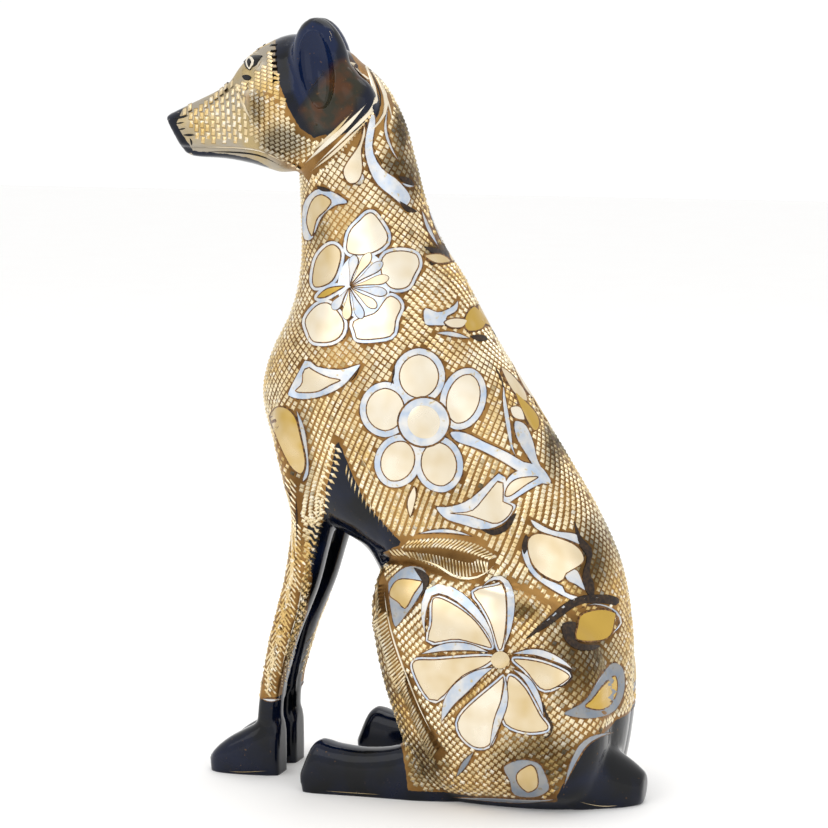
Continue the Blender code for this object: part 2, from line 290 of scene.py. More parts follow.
def shells(forms):
    """Vertices and faces of closed shells: quads between the rings, and a lid on each end."""
    verts, faces, start = [], [], 0
    for rings in forms:
        count, around = rings.shape[:2]
        index = start + np.arange(count * around).reshape(count, around)
        beside = np.roll(index, -1, axis=1)
        quads = np.stack([index[:-1], beside[:-1], beside[1:], index[1:]], axis=-1)
        faces += quads.reshape(-1, 4).tolist()
        faces += [index[0, ::-1].tolist(), index[-1].tolist()]
        verts.append(rings.reshape(-1, 3))
        start += count * around
    return np.vstack(verts), faces


def body_of(name, verts, faces):
    """A new mesh object with its faces turned outward."""
    mesh = bpy.data.meshes.new(name)
    mesh.from_pydata((verts * MILLIMETRE).tolist(), [], faces)
    bm = bmesh.new()
    bm.from_mesh(mesh)
    bmesh.ops.recalc_face_normals(bm, faces=bm.faces)
    bm.to_mesh(mesh)
    bm.free()
    made = bpy.data.objects.new(name, mesh)
    bpy.context.scene.collection.objects.link(made)
    return made


forms = [
    loft_rings(TRUNK, TRUNK_SQUARENESS),
    turned(loft_rings(HEAD, HEAD_SQUARENESS)),
    loft_rings(TAIL, TRUNK_SQUARENESS),
]
hollows = []
for side in (-1, 1):
    far = side > 0
    forms += [
        loft_rings(FORELEG, LEG_SQUARENESS, side),
        loft_rings(FOREFOOT, FOOT_SQUARENESS, side),
        loft_rings(HAUNCH, LEG_SQUARENESS, side),
        loft_rings(HINDFOOT, FOOT_SQUARENESS, side, FAR_HINDFOOT_BACK * far),
    ]
    forms += [turned(ball_rings(row, side, -FAR_EAR_FORWARD * far)) for row in EAR_BALLS]
    hollows.append(turned(ball_rings(EAR_HOLLOW, side, -FAR_EAR_FORWARD * far)))
skin = body_of("skin", *shells(forms))
print(len(forms), "forms,", len(skin.data.polygons), "faces before they are run together")

# %% [markdown]
# ## One skin over all the forms
# In clay the masses would be pressed together and smoothed with a thumb. A voxel remesh does the pressing
# and a smoothing pass the thumb's work. The ears are hollowed and the feet cut flat after that, as on the solid.

# %% Run the forms together
SKIN_VOXEL = 1.3 * MILLIMETRE
SMOOTHING, SMOOTH_STEPS = 0.5, 8
GROUND_BLOCK = 330  # millimetres: half the width and the whole depth of the block that cuts the soles flat


def with_modifiers_done(source):
    """Replaces an object's mesh by its mesh with the modifiers done."""
    graph = bpy.context.evaluated_depsgraph_get()
    mesh = bpy.data.meshes.new_from_object(source.evaluated_get(graph))
    source.modifiers.clear()
    source.data = mesh


def cut_away(target, cutter):
    """Takes the cutter's shape out of the target."""
    difference = target.modifiers.new(cutter.name, "BOOLEAN")
    difference.operation = "DIFFERENCE"
    difference.solver = "EXACT"
    difference.object = cutter


fuse = skin.modifiers.new("fuse", "REMESH")
fuse.mode = "VOXEL"
fuse.voxel_size = SKIN_VOXEL
soften = skin.modifiers.new("soften", "SMOOTH")
soften.factor = SMOOTHING
soften.iterations = SMOOTH_STEPS
ear_cutter = body_of("ear_cutter", *shells(hollows))
block = GROUND_BLOCK * np.array([[x, y, z] for z in (-1, 0) for x, y in ((-1, -1), (1, -1), (1, 1), (-1, 1))])
ground_cutter = body_of(
    "ground_cutter",
    block,
    [[3, 2, 1, 0], [4, 5, 6, 7], [0, 1, 5, 4], [1, 2, 6, 5], [2, 3, 7, 6], [3, 0, 4, 7]],
)
cut_away(skin, ear_cutter)
cut_away(skin, ground_cutter)
with_modifiers_done(skin)
bpy.data.objects.remove(ear_cutter)
bpy.data.objects.remove(ground_cutter)
skin_mesh = skin.data
print("skin:", len(skin_mesh.vertices), "points,", len(skin_mesh.polygons), "faces")


# %% [markdown]
# ### Standing over the origin
# The solid stands with the middle of its box over the origin, so the skin is moved there too.
# Points are read, worked on as one array in millimetres, and written back inside the solid's box.


# %% Points and normals as arrays
def read_points(mesh):
    """The mesh's points in millimetres."""
    flat = np.empty(len(mesh.vertices) * 3, np.float32)
    mesh.vertices.foreach_get("co", flat)
    return flat.reshape(-1, 3).astype(float) / MILLIMETRE


def read_normals(mesh):
    """The normals at the mesh's points."""
    flat = np.empty(len(mesh.vertices) * 3, np.float32)
    mesh.vertex_normals.foreach_get("vector", flat)
    return flat.reshape(-1, 3).astype(float)


def write_points(mesh, points):
    """Puts the points into the mesh, none of them outside the solid's box."""
    inside = np.clip(points * MILLIMETRE, cad_low, cad_high)
    mesh.vertices.foreach_set("co", inside.astype(np.float32).ravel())
    mesh.update()


skin_points = read_points(skin_mesh)
middle = (skin_points.min(axis=0) + skin_points.max(axis=0)) / 2
TO_MIDDLE = np.array((-middle[0], -middle[1], 0.0))
print("moved by", np.round(TO_MIDDLE, 2), "mm")

# %% [markdown]
# ## Beads and creases of the skin
# The mouth, the brow, the eye, the collar line, the knee and the shin are raised or sunk in the casting itself.
# Each is a round bead or groove along a line in side view, the same on both sides. Real cast beads are as soft.

# %% Beads and creases
# Each bead is its height, its half width and its line, in millimetres of the side view.
BEADS = {
    "lip": (0.8, 1.4, ((-97, 276.5), (-90, 276), (-75, 276.5), (-60, 275), (-52, 271.5), (-44, 266))),
    "mouth": (-1.3, 1.3, ((-97, 273), (-90, 272.8), (-75, 273), (-60, 271.5), (-52, 268.5), (-45, 263))),
    "brow": (0.9, 1.5, ((-68.5, 307), (-67, 298), (-64.5, 289), (-61, 283))),
    "knee": (1.0, 1.5, ((0, 100), (1, 86), (5, 68), (14.5, 50), (23.5, 31), (30, 18))),
    "shin": (1.0, 1.4, ((-38, 100), (-43, 80), (-48.5, 61), (-54, 34))),
    "fold": (1.8, 4.2, ((4, 106.5), (20, 110.5), (36, 108), (50, 102))),
    "crease": (-1.4, 2.2, ((0, 101), (12, 104.5), (28, 101.5), (44, 97), (58, 96))),
}
EYE = (-63.5, 310.3, 3.4, 2.1, math.radians(20))  # middle x and z, half length, half width and tilt
EYE_HEIGHT, EYE_EDGE = 1.1, 1.2
SIDE_FADE = (0.25, 0.6)  # how far a point faces sideways when its bead begins, and when it has its whole height


def share_of_turn(points):
    """0 on the neck to 1 on the head, straight between the two heights."""
    return np.clip((points[..., 2] - NECK_BELOW) / (NECK_ABOVE - NECK_BELOW), 0, 1)


def away_from(line, x, z):
    """Distance to a line of straight pieces: to each piece, the way to the nearest point of it."""
    distance = np.full(x.shape, np.inf)
    for start, end in zip(line, line[1:]):
        step = end - start
        share = np.clip(((x - start[0]) * step[0] + (z - start[1]) * step[1]) / (step @ step), 0, 1)
        distance = np.minimum(distance, np.hypot(x - start[0] - share * step[0], z - start[1] - share * step[1]))
    return distance


def bead(x, z, height, half_width, line):
    """A round bead: its height falls off as a bell curve of the distance to the line."""
    return height * np.exp(-((away_from(flowing(line), x, z) / half_width) ** 2))


def eye_almond(x, z):
    """Millimetres inside the eye: its half width, times one minus the distance scaled to its two half sizes."""
    centre_x, centre_z, half_length, half_width, tilt = EYE
    along = (x - centre_x) * math.cos(tilt) + (z - centre_z) * math.sin(tilt)
    aside = (z - centre_z) * math.cos(tilt) - (x - centre_x) * math.sin(tilt)
    return (1 - np.hypot(along / half_length, aside / half_width)) * half_width


skin_normals = read_normals(skin_mesh)
unturned = turned(skin_points, -share_of_turn(skin_points))
side_x, side_z = unturned[:, 0], unturned[:, 2]
relief = sum(bead(side_x, side_z, *row) for row in BEADS.values())
relief = relief + EYE_HEIGHT * np.clip(0.5 + eye_almond(side_x, side_z) / EYE_EDGE, 0, 1)
sideways = np.clip((np.abs(skin_normals[:, 1]) - SIDE_FADE[0]) / (SIDE_FADE[1] - SIDE_FADE[0]), 0, 1)
skin_points = skin_points + skin_normals * (relief * sideways)[:, None]
write_points(skin_mesh, skin_points + TO_MIDDLE)
skin_points = read_points(skin_mesh)
skin_normals = read_normals(skin_mesh)
print("relief from", round(relief.min(), 2), "to", round(relief.max(), 2), "mm")

# %% [markdown]
# ## Finding places on the skin
# The ornament is drawn flat, as the picture shows it, and laid on the skin along the lines of sight.
# What is drawn for the left side is mirrored to the right, where the head's turn is taken back first.

# %% Lines of sight and the nearest skin
skin_mesh.calc_loop_triangles()
skin_corners = np.empty(len(skin_mesh.loop_triangles) * 3, np.int32)
skin_mesh.loop_triangles.foreach_get("vertices", skin_corners)
skin_corners = skin_corners.reshape(-1, 3)
skin_tree = BVHTree.FromPolygons(skin_points.tolist(), skin_corners.tolist())
eye_mm = eye / MILLIMETRE


def normals_at(places, faces):
    """Each corner's normal counts by the area of the triangle that the place makes with the other two."""
    corners = skin_points[skin_corners[faces]]
    toward = corners - places[:, None]
    areas = np.linalg.norm(np.cross(np.roll(toward, -1, axis=1), np.roll(toward, -2, axis=1)), axis=2)
    mixed = (skin_normals[skin_corners[faces]] * areas[:, :, None]).sum(axis=1)
    return mixed / np.linalg.norm(mixed, axis=1, keepdims=True)


def touching(points):
    """The places of the skin nearest to the points, and the normals there."""
    flat = np.asarray(points, float).reshape(-1, 3)
    found = [skin_tree.find_nearest(point) for point in flat.tolist()]
    places = np.array([hit[0] for hit in found])
    normals = normals_at(places, np.array([hit[2] for hit in found]))
    return places.reshape(np.shape(points)), normals.reshape(np.shape(points))


def under(pixels):
    """The places of the skin under pixels of the picture, and the normals there."""
    flat = np.asarray(pixels, float).reshape(-1, 2)
    across = (flat[:, :1] - PICTURE / 2) / FOCAL_PIXELS
    up = (PICTURE / 2 - flat[:, 1:]) / FOCAL_PIXELS
    rays = to_right * across + to_top * up - toward_eye
    start = Vector(eye_mm)
    hits = [skin_tree.ray_cast(start, Vector(ray)) for ray in rays.tolist()]
    reach = STAND_BACK / MILLIMETRE
    spare = (eye_mm + rays * reach).tolist()
    hits = [hit if hit[0] else skin_tree.find_nearest(point) for hit, point in zip(hits, spare)]
    places = np.array([hit[0] for hit in hits])
    normals = normals_at(places, np.array([hit[2] for hit in hits]))
    shape = np.shape(pixels)[:-1] + (3,)
    return places.reshape(shape), normals.reshape(shape)


def seen_at(points):
    """The pixels of the picture at which points show."""
    away = points - eye_mm
    depth = -(away @ toward_eye)
    across = away @ to_right / depth
    up = away @ to_top / depth
    return np.stack([PICTURE / 2 + FOCAL_PIXELS * across, PICTURE / 2 - FOCAL_PIXELS * up], axis=-1)


def mirrored(points):
    """Points carried to the other side, through the pose with the head straight."""
    straight = turned(points - TO_MIDDLE, -share_of_turn(points))
    straight = straight * np.array((1, -1, 1))
    return turned(straight, share_of_turn(points)) + TO_MIDDLE


test_place, _ = under([(500, 658)])
print("the middle of the thigh's flower is at", np.round(test_place[0], 1), "mm")

# %% [markdown]
# ## Plates: fills, borders and dark rims
# A smooth petal on the real dog stands a little proud of the punched ground, with a cut line round it.
# Each is made as a low plate: a grid between the two banks of its outline, pressed on the skin,
# with a bevelled edge that runs down into the metal. A dark plate under a silver one under a gold one
# gives the brown line, the silver border and the polished fill, as three passes of the chaser do.

# %% Outlines and their banks
PLATE_ROWS, PLATE_SHARES = 22, 5  # points along a bank, and from bank to bank inside the bevel
PLATE_STOPS = (1 - np.cos(np.linspace(0, math.pi, PLATE_ROWS))) / 2  # closer together at the two ends
OUTLINE_POINTS, OVAL_POINTS, SPAN_POINTS = 96, 12, 8


def evenly(line, stops):
    """Places on a line at the given shares of its whole length."""
    steps = np.linalg.norm(np.diff(line, axis=0), axis=1)
    run = np.concatenate([[0], np.cumsum(steps)])
    return np.stack([np.interp(stops * run[-1], run, line[:, k]) for k in range(2)], axis=1)


def oval(x, y, half_width, half_height, turn=0.0):
    """Points (half width times cos t, half height times sin t), turned by some degrees about the middle."""
    angles = np.linspace(0, 2 * math.pi, OVAL_POINTS, endpoint=False)
    along, aside = half_width * np.cos(angles), half_height * np.sin(angles)
    lean_cos, lean_sin = math.cos(math.radians(turn)), math.sin(math.radians(turn))
    return np.stack([x + along * lean_cos - aside * lean_sin, y + along * lean_sin + aside * lean_cos], axis=1)


def grown(outline, by):
    """The outline moved outward along its own normals."""
    ahead = np.roll(outline, -1, axis=0) - np.roll(outline, 1, axis=0)
    ahead = ahead / np.maximum(np.linalg.norm(ahead, axis=1, keepdims=True), 1e-9)
    following = np.roll(outline, -1, axis=0)
    area = (outline[:, 0] * following[:, 1] - following[:, 0] * outline[:, 1]).sum()
    outward = np.stack([ahead[:, 1], -ahead[:, 0]], axis=1) * np.sign(area)
    return outline + by * outward


def banks(outline, grow=0.0):
    """The outline's two sides, each from one of its two farthest points to the other."""
    smooth = flowing(outline, SPAN_POINTS, closed=True)
    smooth = evenly(np.vstack([smooth, smooth[:1]]), np.arange(OUTLINE_POINTS) / OUTLINE_POINTS)
    smooth = grown(smooth, grow)
    apart = np.linalg.norm(smooth[:, None] - smooth[None], axis=2)
    first, last = np.unravel_index(apart.argmax(), apart.shape)
    first, last = min(first, last), max(first, last)
    one = evenly(smooth[first : last + 1], PLATE_STOPS)
    other = evenly(np.vstack([smooth[last:], smooth[: first + 1]])[::-1], PLATE_STOPS)
    return one, other


def ribbon(line, half_width, grow=0.0):
    """The two sides of a band: the line plus and minus the half width times sin(pi s), s being the share run."""
    middle_line = evenly(flowing(line, SPAN_POINTS), PLATE_STOPS)
    ahead = np.gradient(middle_line, axis=0)
    ahead = ahead / np.linalg.norm(ahead, axis=1, keepdims=True)
    aside = np.stack([ahead[:, 1], -ahead[:, 0]], axis=1)
    reach = (half_width + grow) * np.sin(math.pi * PLATE_STOPS)
    reach[[0, -1]] = 0
    middle_line = middle_line + grow * (np.outer(PLATE_STOPS, ahead[-1]) - np.outer(1 - PLATE_STOPS, ahead[0]))
    return middle_line + aside * reach[:, None], middle_line - aside * reach[:, None]


# %% [markdown]
# ## The drawing
# The chaser draws the flowers on the metal first, and this is that drawing: points round each outline,
# in the picture's pixels, across and down. The number before a fill is its tone, from 0, pale cream brass,
# to 1, deep amber.


# %% Fills of the flowers and leaves
NECK_FLOWER = (
    (0.05, ((347, 243), (350, 231), (358, 222), (371, 213), (386, 231), (387, 243), (375, 252), (359, 255),
        (348, 251))),
    (0.05, ((384, 255), (400, 251), (415, 255), (419, 265), (414, 276), (408, 287), (395, 289), (386, 282),
        (381, 270))),
    (0.1, ((353, 322), (363, 317), (376, 312), (389, 296), (401, 306), (396, 320), (393, 335), (378, 339),
        (359, 339), (355, 331))),
    (0.1, ((306, 319), (318, 305), (331, 305), (344, 321), (342, 335), (331, 342), (314, 341), (308, 331))),
    (0.5, ((313, 282), (317, 258), (330, 245), (341, 251), (340, 265), (333, 281), (320, 287))),
    (1.1, ((318, 297), (328, 288), (345, 286), (335, 293), (325, 298))),
)
FLANK_FLOWER = (
    (0.05, oval(419, 376.5, 20, 21)),
    (0.05, oval(463, 399, 16.5, 24.5, 16)),
    (0.2, oval(439, 464, 18, 21.5, -12)),
    (0.2, oval(398, 461, 17, 20, 20)),
    (0.1, oval(385.5, 409.5, 19.5, 20.5)),
)
THIGH_FLOWER = (
    (0.15, ((473, 592), (494, 587), (504, 586), (507, 612), (504, 642), (499, 649), (490, 621), (480, 603))),
    (0.32, ((434, 599), (450, 602), (475, 620), (492, 646), (480, 645), (456, 639), (429, 642), (432, 624))),
    (0.4, ((414, 662), (438, 659), (490, 656), (486, 665), (461, 677), (437, 701), (423, 690))),
    (0.15, ((459, 731), (462, 713), (497, 682), (504, 678), (501, 703), (492, 742), (475, 746))),
    (0.4, ((510, 676), (525, 687), (540, 714), (548, 728), (526, 732), (504, 722), (506, 698))),
    (0.45, ((514, 659), (542, 662), (568, 674), (561, 684), (543, 690), (526, 671))),
)
LEAVES = (
    (0.3, ((296, 391), (303, 383), (304, 371), (309, 367), (315, 371), (328, 377), (341, 380), (330, 386),
        (318, 392), (303, 393))),
    (0.75, ((277, 408), (287, 408), (296, 417), (301, 435), (306, 461), (302, 473), (292, 468), (282, 450),
        (274, 430), (270, 416))),
    (0.15, ((449, 513), (472, 511), (485, 497), (499, 480), (503, 486), (501, 500), (512, 506), (508, 517),
        (496, 524), (482, 520), (466, 515))),
    (0.25, ((505, 495), (508, 485), (518, 478), (538, 477), (525, 486), (511, 496))),
    (0.36, ((528, 542), (539, 533), (570, 542), (582, 553), (581, 564), (564, 575), (561, 583), (542, 575),
        (531, 562))),
    (0.15, ((444, 322), (453, 318), (466, 320), (462, 328), (450, 328))),
    (0.95, ((466, 330), (464, 318), (472, 307), (480, 312), (486, 322), (480, 330))),
    (1.1, ((581, 614), (600, 609), (614, 613), (614, 621), (609, 637), (592, 642), (576, 639), (577, 626))),
    (0.95, ((585, 706), (592, 698), (606, 681), (614, 676), (617, 687), (612, 703), (600, 710))),
    (0.6, ((517, 773), (530, 765), (537, 771), (538, 786), (528, 791), (518, 783))),
    (0.75, ((392, 587), (400, 579), (416, 580), (422, 583), (414, 595), (406, 609), (400, 603), (391, 596))),
    (0.55, ((307, 222), (311, 203), (320, 195), (332, 201), (327, 210), (318, 219), (313, 236))),
    (0.15, ((364, 124), (359, 144), (347, 162), (343, 172), (348, 182), (358, 182), (363, 170), (362, 150),
        (366, 134))),
    (0.2, ((414, 486), (417, 496), (411, 517), (407, 502))),
    (0.3, ((500, 368), (510, 373), (524, 390), (526, 402), (512, 392))),
    (0.95, ((514, 392), (526, 402), (537, 415), (539, 426), (533, 431), (524, 417))),
    (0.1, ((510, 408), (520, 407), (524, 420), (513, 418))),
    (0.6, ((424, 256), (440, 254), (450, 262), (436, 264))),
)

# %% [markdown]
# ### Silver, dark cuts, painted shade and bright lines
# Silver shapes and bands come with a tone too, from 0, bright silver, to 1, steel grey painted in as a reflection of
# dark surroundings.
# Bands and lines are a half width, a tone where they have one, and points along the middle.

# %% Silver shapes, dark cuts, painted shade and lines
SILVER_SHAPES = (
    (0.0, oval(364, 286, 27, 34)),
    (0.0, ((289, 391), (299, 371), (307, 358), (314, 365), (326, 368), (342, 369), (361, 364), (351, 379),
        (340, 389), (322, 397), (304, 400), (290, 397))),
    (0.3, ((296, 409), (305, 427), (309, 455), (309, 475), (302, 481), (306, 462), (301, 436))),
    (0.0, ((436, 507), (450, 506), (468, 500), (486, 485), (500, 472), (507, 482), (503, 498), (516, 505),
        (508, 520), (495, 528), (480, 530), (462, 525), (445, 519))),
    (0.0, ((502, 492), (507, 478), (518, 470), (536, 471), (548, 480), (532, 489), (516, 499), (506, 505))),
    (0.0, ((450, 432), (465, 432), (486, 442), (508, 452), (525, 462), (540, 465), (551, 481), (546, 485),
        (532, 480), (516, 471), (498, 460), (476, 449), (456, 442))),
    (0.1, ((514, 422), (525, 424), (533, 440), (538, 460), (547, 477), (536, 470), (524, 452), (516, 438))),
    (0.0, ((521, 552), (528, 542), (531, 562), (542, 576), (562, 585), (566, 592), (586, 599), (575, 602),
        (548, 588), (530, 573))),
    (0.1, ((531, 519), (553, 530), (577, 534), (583, 546), (566, 540), (538, 531))),
    (0.2, ((564, 572), (576, 569), (582, 580), (585, 591), (575, 585), (567, 581))),
    (0.0, ((424, 308), (438, 312), (452, 306), (458, 300), (457, 311), (446, 318), (449, 325), (436, 326),
        (425, 324))),
    (0.7, ((564, 712), (584, 700), (600, 676), (612, 662), (623, 670), (624, 692), (614, 712), (592, 719),
        (572, 717))),
    (0.6, ((504, 767), (520, 759), (538, 762), (545, 772), (549, 788), (536, 797), (514, 795), (510, 782))),
    (0.5, ((388, 584), (392, 577), (406, 567), (423, 569), (428, 581), (418, 600), (407, 615), (396, 627),
        (391, 612))),
    (0.0, ((372, 112), (366, 130), (364, 150), (368, 168), (376, 184), (390, 196), (404, 206), (411, 197),
        (398, 180), (384, 170), (376, 158), (373, 145), (376, 122))),
    (0.1, ((303, 234), (304, 203), (318, 188), (334, 192), (348, 203), (336, 206), (322, 218), (312, 240))),
    (0.2, oval(358, 178, 7, 7)),
)
SILVER_BANDS = (
    (2.8, 0.0, ((503, 376), (504, 398), (508, 425), (512, 448), (520, 464))),
    (2.6, 0.0, ((412, 535), (436, 531), (456, 532), (478, 538))),
    (3.0, 0.1, ((433, 333), (450, 334), (472, 339))),
    (2.0, 0.2, ((527, 634), (548, 620), (574, 600), (602, 598), (616, 602))),
    (1.8, 0.2, ((574, 612), (592, 604), (612, 609), (621, 622), (612, 634), (606, 645))),
    (3.4, 0.6, ((455, 779), (464, 765), (475, 750))),
    (2.4, 0.5, ((446, 797), (484, 799), (530, 801), (566, 798))),
    (3.6, 0.6, ((562, 792), (572, 764), (584, 744), (600, 735), (618, 732))),
    (2.0, 0.1, ((391, 101), (386, 116), (386, 134), (394, 154), (404, 166))),
    (2.0, 0.1, ((400, 182), (408, 186), (416, 186))),
    (2.2, 0.2, ((420, 206), (428, 228), (440, 250))),
    (2.0, 0.0, ((260, 698), (270, 700), (282, 699))),
)
# Painted shade beside the leaves, as dark shapes, and as narrower dark edges.
SHADE_SHAPES = (
    ((480, 529), (493, 536), (508, 530), (517, 514), (511, 515), (504, 524), (492, 529)),
    ((574, 519), (582, 537), (593, 550), (590, 570), (595, 585), (593, 600), (583, 588), (582, 573), (586, 557),
        (577, 543)),
    ((525, 535), (531, 541), (525, 555), (521, 548)),
    ((562, 624), (564, 640), (576, 650), (592, 651), (600, 645), (581, 643), (574, 636), (576, 622)),
    ((524, 640), (546, 618), (574, 597), (604, 594), (618, 598), (617, 606), (602, 604), (578, 606), (550, 626)),
    ((424, 246), (444, 250), (456, 258), (446, 259), (430, 253)),
    ((398, 176), (410, 178), (414, 186), (404, 184)),
    ((398, 200), (410, 206), (418, 212), (406, 212)),
    ((316, 186), (322, 192), (332, 192), (326, 187)),
    ((470, 336), (482, 334), (488, 340), (478, 342)),
    ((413, 568), (426, 572), (430, 582), (420, 600), (422, 584)),
)
SHADE_EDGES = (
    (2.0, ((530, 654), (552, 661), (572, 673), (564, 685), (552, 688), (547, 696), (538, 694))),
    (2.0, ((534, 684), (541, 700), (547, 716), (552, 727), (546, 738), (530, 736))),
    (1.4, ((491, 361), (500, 377), (506, 397))),
    (1.2, ((361, 362), (356, 375), (347, 385))),
    (1.6, ((395, 358), (394, 374), (389, 392))),
    (1.2, ((295, 486), (297, 520), (297, 556))),
    (0.7, ((376, 254), (360, 272), (350, 287))),
    (0.6, ((412, 376), (420, 388), (424, 396))),
    (0.6, ((362, 128), (366, 150), (364, 170))),
)
GOLD_LINES = (
    (1.3, 0.25, ((188, 148), (226, 147), (257, 150), (276, 158), (300, 172))),
    (0.9, 0.5, ((196, 153), (230, 152), (258, 156), (276, 164), (292, 174))),
    (1.9, 0.35, ((237, 82), (240, 96), (246, 110), (254, 124))),
    (0.9, 0.1, ((247, 56.2), (251, 53.6), (257, 53), (264, 54))),
    (1.0, 0.1, ((264, 57), (260.8, 62), (257.6, 67), (253, 71.5))),
    (3.6, 0.05, ((370, 100), (344, 128), (322, 148), (301, 167))),
    (2.6, 0.45, ((356, 108), (334, 132), (316, 148), (302, 158))),
    (2.6, 0.3, ((374, 112), (350, 138), (328, 158), (305, 176))),
    # The next three lines, on the ear's edges, are painted highlights as well as worn lacquer.
    (0.6, 0.9, ((297, 104), (303, 94), (309, 88), (316, 84))),
    (0.6, 0.7, ((318, 77), (322, 71), (325, 64))),
    (0.8, 0.2, ((327, 32), (330, 38), (331.5, 46))),
    (2.8, 0.05, ((345, 43), (364, 64), (375, 92), (373, 108), (358, 124), (334, 148), (304, 176))),
    (2.6, 0.1, ((354, 44), (374, 72), (385, 96), (384, 114), (372, 130), (352, 152))),
    (1.5, 0.1, ((382, 566), (387, 612), (398, 653), (420, 709), (443, 754))),
    (2.4, 0.4, ((402, 555), (434, 564), (456, 577), (478, 577), (495, 564), (493, 550))),
    (1.4, 0.1, ((289, 486), (292, 520), (292, 556), (289, 590))),
    (1.6, 0.15, ((362, 58), (380, 84), (390, 110), (394, 134))),
    (1.5, 0.1, ((305, 558), (298, 610), (286, 650), (277, 692))),
    (0.9, 0.6, ((213, 769), (240, 772), (282, 770))),
    (0.9, 0.6, ((303, 789), (340, 792), (402, 796))),
    (0.8, 0.5, ((560, 796), (600, 806), (640, 803))),
    # Two more lines on the ear's edges are painted highlight as well as worn lacquer. After them come a painted
    # highlight down the front of the foreleg and one along the belly's edge.
    (0.8, 0.6, ((298, 108), (306, 95), (320, 77), (334, 58))),
    (0.7, 0.1, ((325, 24), (331, 34), (334, 46))),
    (1.0, 0.3, ((270, 470), (272, 520), (268, 580), (258, 640), (252, 690))),
    (1.2, 0.2, ((388, 508), (374, 480), (358, 452), (346, 430))),
)
EYE_SHAPE = (
    (244, 62), (246, 58), (250, 55.6), (256, 54.8), (263, 55.8), (260, 60.5), (256.5, 66), (253, 68), (250.5, 71),
    (247.5, 69.5), (245, 66)
)
EYE_WHITE = ((245.4, 61.8), (247.2, 58.4), (250.2, 56.8), (253.8, 58.2), (255.2, 62), (253.4, 66.4), (250.6, 70),
    (248.2, 68.6), (246.2, 65))
EYE_PUPIL = ((247.8, 61.4), (250.4, 58.9), (252.8, 61.4), (252.3, 64.7), (250.2, 68.6), (248, 64.7))
TEAR = ((242.4, 75.4), (247, 74), (251.4, 76.4), (250, 80.4), (246.6, 81), (243.2, 79.6))
DARK_LINES = (
    (1.5, ((189, 152), (226, 152), (257, 155), (276, 163), (297, 175))),
    (1.9, ((171, 119), (182, 117), (191, 115))),
    (1.5, ((174, 124), (180, 123), (186, 122))),
    (1.5, ((177, 130), (182, 129), (187, 128))),
    (1.9, ((181, 135), (188, 135), (197, 135))),
    (1.7, ((189, 137), (191, 141), (192, 147))),
    (1.4, ((350, 44), (369, 69), (380, 94), (378, 112), (364, 128), (342, 150))),
    (1.0, ((366, 118), (370, 140), (384, 166), (402, 186))),
)
THIGH_RIBS = (
    (4.6, ((503, 652), (509, 630), (511, 605), (508, 587), (501, 578), (490, 580), (479, 591))),
    (5.8, ((497, 656), (489, 631), (473, 609), (451, 592), (431, 591), (424, 615), (427, 641))),
    (4.8, ((493, 653), (470, 647), (445, 647), (418, 655))),
    (8.0, ((496, 666), (476, 676), (452, 698), (441, 724))),
    (4.6, ((506, 673), (505, 700), (498, 721), (489, 751))),
    (3.8, ((508, 666), (526, 678), (538, 698), (545, 721))),
    (4.2, ((508, 654), (536, 652), (562, 662), (576, 673))),
)
# The rays of the neck's flower: 0 for silver and 1 for gold, and where the ray ends.
NECK_RAYS = (
    (0, 355, 256), (1, 370, 254), (0, 382, 263), (1, 388, 278), (0, 386, 293), (1, 376, 307), (0, 362, 318),
    (1, 347, 319), (0, 334, 309),
)
NECK_RAYS_FROM = (350, 287)
RAY_WIDTH = 5.4
FLANK_MIDDLE, THIGH_MIDDLE = (424, 422), (500.6, 659.6)


def drop(start, end, half_width):
    """An outline that widens from its start as a drop does, widest at four fifths of the way."""
    start, along = np.array(start, float), np.subtract(end, start).astype(float)
    aside = np.array((along[1], -along[0])) / np.hypot(*along) * half_width
    sides = ((0.0, 0.0), (0.4, 0.45), (0.8, 1.0), (1.0, 0.5), (1.0, -0.5), (0.8, -1.0), (0.4, -0.45))
    return np.array([start + share * along + wide * aside for share, wide in sides])


# %% [markdown]
# ## Raising the plates
# Every plate has the same number of rows and columns, so all plates of one layer are worked out as one array.

# %% Plates as one array
SINK = 0.45
BEVEL = 1.1  # pixels
CROWN_WIDTH = 30  # pixels: a plate as wide as this has the whole of its crown
MERGE_WITHIN = 1e-4


def plates(pairs, height, crown):
    """Point(row, s) = left bank times (1 - s) plus right bank times s, lifted by its height plus crown times 4s(1 - s).

    The two edges stay below the skin, so that the plate has no open side.
    """
    left = np.array([pair[0] for pair in pairs])
    right = np.array([pair[1] for pair in pairs])
    width = np.linalg.norm(right - left, axis=2)
    edge = np.clip(BEVEL / np.maximum(width, 1e-6), 0, 0.5)
    inner = np.linspace(0, 1, PLATE_SHARES)
    shares = edge[..., None] + (1 - 2 * edge[..., None]) * inner
    shares = np.concatenate([np.zeros(width.shape + (1,)), shares, np.ones(width.shape + (1,))], axis=2)
    grid = left[:, :, None] * (1 - shares[..., None]) + right[:, :, None] * shares[..., None]
    top = np.clip(width / (2 * BEVEL), 0, 1)
    rise = np.zeros(shares.shape)
    rise[..., 1:-1] = top[..., None]
    domed = crown * np.clip(width / CROWN_WIDTH, 0, 1)[..., None] * 4 * shares * (1 - shares)
    lift = -SINK + (height + SINK + domed) * rise
    places, normals = under(grid)
    near = places + normals * lift[..., None]
    far_places, far_normals = touching(mirrored(places))
    far = far_places + far_normals * lift[..., None]
    off_edge = np.arange(rise.shape[-1]) % (rise.shape[-1] - 1) > 0
    rim = np.broadcast_to(off_edge.astype(float), rise.shape)
    return np.concatenate([near, far]), np.concatenate([rim, rim])


def tube_faces(count, rows, around):
    """Quads of count closed tubes of the same grid."""
    index = np.arange(count * rows * around).reshape(count, rows, around)
    beside = np.roll(index, -1, axis=2)
    quads = np.stack([index[:, :-1], beside[:, :-1], beside[:, 1:], index[:, 1:]], axis=-1)
    return quads.reshape(-1, 4)


